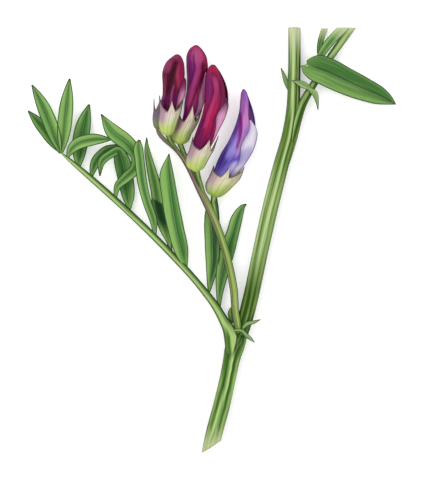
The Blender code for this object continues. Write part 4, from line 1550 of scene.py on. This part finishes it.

# The petal finishes' patches and lines mix the petals' own colours with painted highlights on ridges and
# painted shade in folds and on far halves
FLORETS = (
    Floret(
        1, 5.25,
        ((167.2, 136.6, 168.8, 136.6, 0.15), (161.2, 133, 173.8, 133.8, 1.25),
         (158.8, 126.5, 176.6, 127, 1.75), (159, 119, 179.6, 117.8, 1.85), (160, 113.5, 181.6, 111.5, 1.85)),
        (Tooth(-50, 6, 17.5), Tooth(75, 94, 11.5), Tooth(118, 175, 12), Tooth(205, 235, 12),
         Tooth(260, 286, 12)),
        ((164.6, 128.5, 171.4, 129, 0.8, 0.9, 0.8), (163.9, 119.5, 175, 120, 0.95, 0.88, 0.75),
         (164.3, 110, 177.8, 110.5, 1.15, 0.84, 0.75), (163, 98, 184.5, 99, 1.5, 0.7, 0.8),
         (162.8, 85, 186.5, 85, 1.85, 0.82, 0.85), (162.6, 73, 186, 75, 1.75, 0.95, 0.95),
         (166, 63.5, 185, 65, 1.4, 0.95, 0.95), (172, 57.8, 182, 57.5, 0.9, 0.95, 0.95),
         (175.5, 55.4, 179.5, 55.4, 0.45, 0.95, 0.95)),
        PetalFinish(
            "petal_first", ((0.0, PURPLE), (0.36, (98, 8, 58)), (0.55, (118, 12, 62)), (0.75, (126, 18, 66)),
                            (0.92, (152, 40, 92)), (1.0, (136, 22, 74))),
            (Patch((86, 2, 36), (170.5, 80), (6.5, 16), 0.95), Patch((176, 22, 84), (181, 77), (5, 17), 0.8),
             Patch((170, 76, 126), (167.5, 68), (4, 9), 0.7), Patch(PURPLE, (170, 100), (9, 8), 0.8),
             Patch((176, 70, 118), (176, 58.5), (6, 3.5), 0.6)),
            (Line((60, 0, 28), ((166, 97), (169, 88), (172.5, 79), (175, 71), (176.5, 63)), 3, 0.9, -0.28),
             Line((186, 66, 110), ((178.2, 88), (178.4, 78), (179, 68)), 1.5, 0.45, 0.12),
             Line((186, 84, 136), ((170.5, 106), (172, 96), (174, 88)), 1.2, 0.6, 0.08),
             Line((160, 60, 120), ((164.3, 98), (165, 88), (166, 78)), 1.2, 0.5, 0.05)),
            light=(176, 66, 118), vein=(70, 2, 34), deepen=0.66),
        PetalFinish(
            "wing_first",
            ((0.0, PINK), (0.44, (196, 100, 156)), (0.58, (132, 30, 86)), (1.0, (124, 24, 80))),
            (Patch((226, 176, 208), (183, 98), (4, 8), 0.7),),
            vein=(186, 96, 152), light=PINK, outline=ROSE),
        CalyxFinish("calyx_first", wall=(232, 222, 204), teeth=(222, 178, 196)), flare=0.12),
    Floret(
        2, 2.70,
        ((179.2, 145.4, 180.8, 145.4, 0.15), (171.8, 140, 188.6, 141, 1.3), (171.4, 132.6, 192, 133.4, 1.8),
         (174.2, 127, 196, 127, 1.9), (177, 122, 199, 121, 1.9)),
        (Tooth(-50, 8, 12), Tooth(71, 98, 17), Tooth(136, 178, 12.5), Tooth(212, 240, 12),
         Tooth(264, 288, 12)),
        ((177.6, 135, 185, 137, 0.85, 0.9, 0.8), (180, 126.5, 190.4, 128, 1, 0.88, 0.75),
         (182.4, 118.5, 195.4, 119.5, 1.2, 0.8, 0.75), (184.4, 107, 202, 109, 1.45, 0.74, 0.8),
         (186.2, 94.5, 206, 96, 1.8, 0.66, 0.85), (187, 80, 207.6, 80, 1.8, 0.8, 0.9),
         (186.3, 65, 209, 65, 1.65, 0.93, 0.95), (187, 53.5, 206, 53.5, 1.3, 0.95, 0.95),
         (190.5, 47.6, 201.5, 47.6, 0.8, 0.95, 0.95), (194.4, 45, 198, 45, 0.4, 0.95, 0.95)),
        PetalFinish(
            "petal_second", ((0.0, PURPLE), (0.22, (124, 16, 96)), (0.42, (140, 22, 84)),
                             (0.62, (146, 28, 86)), (0.85, (156, 40, 98)), (0.95, (168, 44, 100)),
                             (1.0, (150, 32, 84))),
            (Patch((132, 32, 120), (190, 70), (5.5, 28)), Patch((150, 22, 72), (204.5, 66), (6, 22)),
             Patch((204, 92, 148), (197, 56), (6.5, 12), 0.75), Patch(MAROON, (203, 84), (3.5, 14), 0.6),
             Patch((122, 20, 104), (185.5, 111), (4.5, 14), 0.8),
             Patch((186, 56, 126), (192, 101), (4.5, 14), 0.75)),
            (Line((182, 66, 138), ((186.5, 106), (189, 96), (194.5, 82), (198.5, 72), (197.5, 60)),
                  3.2, 0.7, 0.2),
             Line(MAROON, ((190, 108), (194.5, 96), (199.5, 86), (203, 76), (203, 64)), 1.8, 0.7, -0.18),
             Line((90, 20, 96), ((187, 92), (192, 80), (194.5, 68), (193, 56)), 1.4, 0.7, -0.08)),
            light=(190, 84, 146), vein=(104, 10, 70)),
        PetalFinish(
            "wing_second", ((0.0, PINK), (1.0, PINK)), (Patch((192, 82, 140), (204, 92), (3, 10)),),
            vein=(196, 110, 165), light=LILAC, outline=ROSE, deepen=0.9),
        CalyxFinish("calyx_second", flush=(166, 118, 136))),
    Floret(
        3, 5.15,
        ((194.6, 172, 197.6, 172.6, 0.15), (186.4, 166.6, 204.4, 167.8, 1.3),
         (185.8, 158.6, 208.8, 159.6, 1.85), (187.6, 153.6, 211.2, 155.4, 1.95),
         (189.4, 149.6, 213.6, 151.8, 1.95)),
        (Tooth(-50, 5, 13), Tooth(84, 114, 12), Tooth(148, 178, 16.5), Tooth(215, 242, 12),
         Tooth(265, 289, 12)),
        ((191.6, 160.5, 201.6, 163, 0.85, 0.95, 0.8), (192.2, 149.4, 208, 152, 1.1, 0.95, 0.75),
         (193.8, 139.4, 213.4, 143, 1.3, 0.93, 0.75), (198, 127.2, 219, 131, 1.65, 0.85, 0.8),
         (202.3, 114.5, 225, 119, 1.85, 0.64, 0.9), (205, 99, 229, 103, 1.85, 0.83, 0.97),
         (205.3, 85, 227, 86, 1.7, 0.86, 0.97), (206, 74.5, 221.5, 74, 1.3, 0.9, 0.97),
         (208.6, 68.3, 217.4, 68, 0.8, 0.93, 0.95), (211.2, 65.6, 214.8, 65.6, 0.4, 0.95, 0.95)),
        PetalFinish(
            "petal_third", ((0.0, PURPLE), (0.14, (112, 8, 84)), (0.36, (160, 18, 86)), (0.6, (150, 26, 86)),
                            (0.82, (140, 24, 78)), (0.93, (172, 34, 84)), (1.0, (148, 26, 74))),
            (Patch((138, 36, 124), (208.5, 88), (4.5, 18)), Patch((190, 18, 88), (211, 118), (5.5, 24), 0.9),
             Patch((104, 10, 82), (199, 134), (5.5, 22), 0.9),
             Patch((132, 26, 80), (225.5, 96), (4, 26), 0.9),
             Patch((186, 70, 120), (215, 84), (4, 10), 0.6), Patch((186, 30, 80), (214, 70), (6, 4.5)),
             Patch((130, 14, 66), (213, 76.5), (6, 3.5), 0.6)),
            (Line((192, 62, 122), ((205, 128), (209, 116), (213, 104), (216.5, 92), (215.5, 82)),
                  2.8, 0.55, 0.2),
             Line((96, 6, 60), ((202, 126), (205.5, 114), (210, 104), (212.5, 92), (211.5, 82)),
                  1.5, 0.6, -0.14),
             Line(MAROON, ((211.5, 136), (213.5, 122), (218.5, 110), (221.5, 98), (219.5, 84)),
                  1.5, 0.6, -0.1)),
            light=(200, 76, 130), vein=(104, 6, 56)),
        PetalFinish(
            "wing_third", ((0.0, PINK), (0.5, PINK), (0.64, MAROON), (1.0, MAROON)), vein=(190, 96, 150),
            light=LILAC, outline=(110, 30, 80), deepen=0.92),
        CalyxFinish("calyx_third"), flare=0.03),
    Floret(
        4, 2.15,
        ((213.4, 197.4, 216.4, 198.2, 0.15), (206.2, 190.8, 224.2, 194.8, 1.45),
         (205.4, 184.2, 231.6, 188, 2.1), (207, 180, 236, 183.6, 2.2), (209.6, 175, 240, 179.6, 2.15)),
        (Tooth(-50, 8, 10.5), Tooth(76, 95, 13), Tooth(106, 165, 14), Tooth(205, 235, 12),
         Tooth(260, 286, 12)),
        ((211, 185.8, 222.6, 189.5, 0.85, 0.9, 0.8), (212.4, 176.6, 231.4, 183, 1.15, 0.8, 0.75),
         (214.8, 167.6, 237, 175.5, 1.4, 0.76, 0.75), (220.4, 154.2, 246, 163, 1.75, 0.74, 0.8),
         (228.5, 140.5, 254.5, 148, 1.85, 0.5, 0.85), (235.3, 125, 257.8, 130, 1.75, 0.64, 0.9),
         (239, 112, 255, 115, 1.45, 0.6, 0.96), (240.4, 98.5, 249.9, 99.5, 0.95, 0.85, 0.97),
         (241.6, 91, 246.4, 91, 0.45, 0.95, 0.95), (242.9, 88.8, 244.3, 88.8, 0.3, 0.95, 0.95)),
        PetalFinish(
            "petal_fourth", ((0.0, (176, 166, 220)), (0.16, (128, 112, 200)), (0.34, (96, 76, 176)),
                             (0.52, (130, 92, 182)), (0.7, (172, 104, 184)), (0.88, (172, 104, 186)),
                             (1.0, (130, 80, 170))),
            (Patch((62, 42, 140), (223, 158), (6.5, 22), 0.95), Patch((80, 34, 136), (236.5, 124), (4, 20)),
             Patch((206, 126, 186), (246, 116), (4, 17)), Patch((158, 146, 220), (234, 148), (5, 16), 0.8),
             Patch((206, 200, 238), (234, 168), (5, 9), 0.7),
             Patch((136, 104, 196), (252.5, 108), (4, 22), 0.95)),
            (Line((124, 10, 118), ((238, 149), (240.3, 138), (240.4, 127), (239.8, 113)), 3, 0.9, -0.2),
             Line((196, 152, 210), ((236, 156), (241, 143), (243.6, 130), (244.2, 118)), 1.6, 0.5, 0.12),
             Line((120, 60, 150), ((243, 112), (243.5, 102), (243.5, 95)), 1.4, 0.5, -0.08)),
            vein=(70, 30, 110), light=(196, 174, 232), outline=(64, 34, 104), deepen=0.94),
        PetalFinish(
            "wing_fourth", ((0.0, LILAC), (1.0, LILAC)),
            (Patch((152, 138, 214), (244, 156), (6, 14), 0.7),), vein=(160, 140, 205),
            light=(248, 244, 252), outline=(96, 76, 140), vein_strength=0.3, deepen=0.88),
        CalyxFinish("calyx_fourth", foot=(168, 196, 92), wall=(228, 222, 176), flush=(186, 154, 170)),
        flare=0.02, slots=("petal_violet", "wing_lilac")),
)


@dataclass
class YoungFloret:
    """The closed floret at the end of the raceme."""

    middle_mm: float = 1.55
    calyx: Sequence[Row] = (
        (156.4, 129.2, 158, 129.4, 0.12), (153.6, 126.6, 161.6, 127.4, 0.75),
        (152.2, 120.6, 166.2, 121.4, 1.15), (152.4, 113.6, 168, 114, 1.2), (152.9, 110.5, 168.6, 110.5, 1.2))
    teeth: tuple[Tooth, ...] = (
        Tooth(-34, 8, 13), Tooth(42, 74, 10), Tooth(110, 146, 9), Tooth(182, 218, 7), Tooth(254, 290, 7))
    petals: Sequence[Row] = (
        (157.4, 121, 161.4, 121.4, 0.4), (157.8, 113, 164.4, 113.4, 0.45), (159.6, 106, 165.6, 106, 0.45),
        (161.4, 97, 168.8, 97, 0.7), (164, 88, 169.4, 88, 0.45))
    cup: CalyxFinish = CalyxFinish(
        "calyx_young", foot=(128, 142, 96), wall=(138, 124, 132), flush=(118, 96, 116),
        teeth=(132, 116, 126), rib=(92, 78, 92))
    skin: PetalFinish = PetalFinish(
        "petal_young", ((0.0, (150, 120, 130)), (0.5, (122, 44, 124)), (1.0, PURPLE)))

    def __post_init__(self) -> None:
        """Read the petals' sections."""
        self.chart = Chart(self.petals)

    def place(self, u: float, v: float) -> Point:
        """A point of the closed petals.

        Args:
            u: The way round.
            v: The way up from their foot.

        Returns:
            The point.
        """
        row = self.chart.read(v)
        turn = FULL_TURN * u
        fill = max(min(math.sqrt(1 - v ** 10), math.sqrt(v * 12)), 0.02)
        middle = at((row[0] + row[2]) / 2, (row[1] + row[3]) / 2, self.middle_mm)
        spot = middle.lerp(ring_point(row, turn, self.middle_mm), fill)
        return Point(spot, (across_of(turn), v))

    def build(self) -> None:
        """Make its calyx and its closed petals."""
        calyx = Calyx(5, self.middle_mm, self.calyx, self.teeth, wall_mm=0.3)
        calyx.build(self.cup.make(), "calyx_mauve")
        petals = Surface(40, 36, self.place, closed=True)
        stand_in([petals.build("petals_5_body", self.skin.make(self.chart))], "petals_5", "bud_purple")


@dataclass
class Studio:
    """A plain pale floor, soft light from large lamps, and a camera that looks straight down."""

    span_mm: float = 100.84
    lens: float = 150.0
    sensor: float = 36.0
    middle_mm: tuple[float, float, float] = (0.0, 0.063, 3.0)
    floor_size: float = 3.0
    floor_glow: float = 0.34
    room_light: float = 0.74
    paper: Paint = (250, 250, 250)
    fibre: Paint = (238, 238, 236)
    light_colour: tuple[float, float, float] = (1.0, 0.985, 0.96)

    def build(self) -> None:
        """Make the floor, the lamps, the pale surroundings and the camera."""
        self.lay_floor()
        self.hang_lamp("key", (-0.35, 0.35, 0.55), 0.55, 2.4)
        self.hang_lamp("fill", (0.45, -0.20, 0.50), 0.7, 1.3)
        world = bpy.data.worlds.new("pale_room")
        world.use_nodes = True
        world.node_tree.nodes["Background"].inputs["Color"].default_value = (1.0, 1.0, 1.0, 1.0)
        world.node_tree.nodes["Background"].inputs["Strength"].default_value = self.room_light
        bpy.context.scene.world = world
        bpy.context.scene.view_settings.view_transform = "Standard"
        self.place_camera()

    def lay_floor(self) -> None:
        """Lay a sheet of pale paper under the sprig."""
        recipe = Recipe("floor_paper")
        along, across = recipe.readings("flow")
        fine = recipe.grain(along, across, (900.0, 900.0), 1.0, 2.0)
        recipe.colour = linear(self.paper)
        recipe.paint(fine * 0.02, self.fibre)
        recipe.feed(recipe.shader["Emission Color"], (1.0, 1.0, 1.0, 1.0))
        recipe.feed(recipe.shader["Emission Strength"], self.floor_glow)
        mesh = bpy.data.meshes.new("floor")
        shares = ((0, 0), (1, 0), (1, 1), (0, 1))
        corners = [((x - 0.5) * self.floor_size, (y - 0.5) * self.floor_size, 0.0) for x, y in shares]
        mesh.from_pydata(corners, [], [(0, 1, 2, 3)])
        for loop, share in zip(mesh.uv_layers.new(name="flow").data, shares):
            loop.uv = share
        mesh.materials.append(recipe.finish(fine * 0.1 + 0.85))
        floor = bpy.data.objects.new("floor", mesh)
        bpy.context.scene.collection.objects.link(floor)
        floor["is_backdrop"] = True

    def hang_lamp(self, name: str, place: tuple[float, float, float], size: float, power: float) -> None:
        """Hang a large soft lamp that faces the sprig.

        Args:
            name: Its name.
            place: Where it hangs, in metres.
            size: Its width in metres.
            power: Its power in watts.
        """
        data = bpy.data.lights.new(name, "AREA")
        data.energy = power
        data.size = size
        data.color = self.light_colour
        item = bpy.data.objects.new(name, data)
        item.location = place
        item.rotation_euler = (-Vector(place)).to_track_quat("-Z", "Y").to_euler()
        bpy.context.scene.collection.objects.link(item)

    def place_camera(self) -> None:
        """Set the camera above the sprig, with the sheet's up as its up."""
        data = bpy.data.cameras.new("camera")
        data.lens = self.lens
        data.sensor_width = self.sensor
        data.clip_start = 0.01
        data.clip_end = 10.0
        data.dof.use_dof = False
        item = bpy.data.objects.new("camera", data)
        x, y, z = self.middle_mm
        item.location = (x * MM, y * MM, (z + self.lens / self.sensor * self.span_mm) * MM)
        bpy.context.scene.collection.objects.link(item)
        bpy.context.scene.camera = item


def plain(box: Sequence[Sequence[float]]) -> list[list[float]]:
    """A box's corners as plain lists of numbers."""
    return [[float(number) for number in corner] for corner in box]


def main() -> None:
    """Build the sprig and its studio."""
    logging.basicConfig(level=logging.INFO, format="%(message)s")
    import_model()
    before = plain(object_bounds())
    for part in (Stem(), CompoundLeaf(), UpperLeaf(), FlowerStalk(), *FLORETS, YoungFloret(), Studio()):
        LOG.info("making %s", type(part).__name__)
        part.build()
    sizes = {"frame": before, "visual": plain(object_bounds())}


if __name__ == "__main__":
    main()
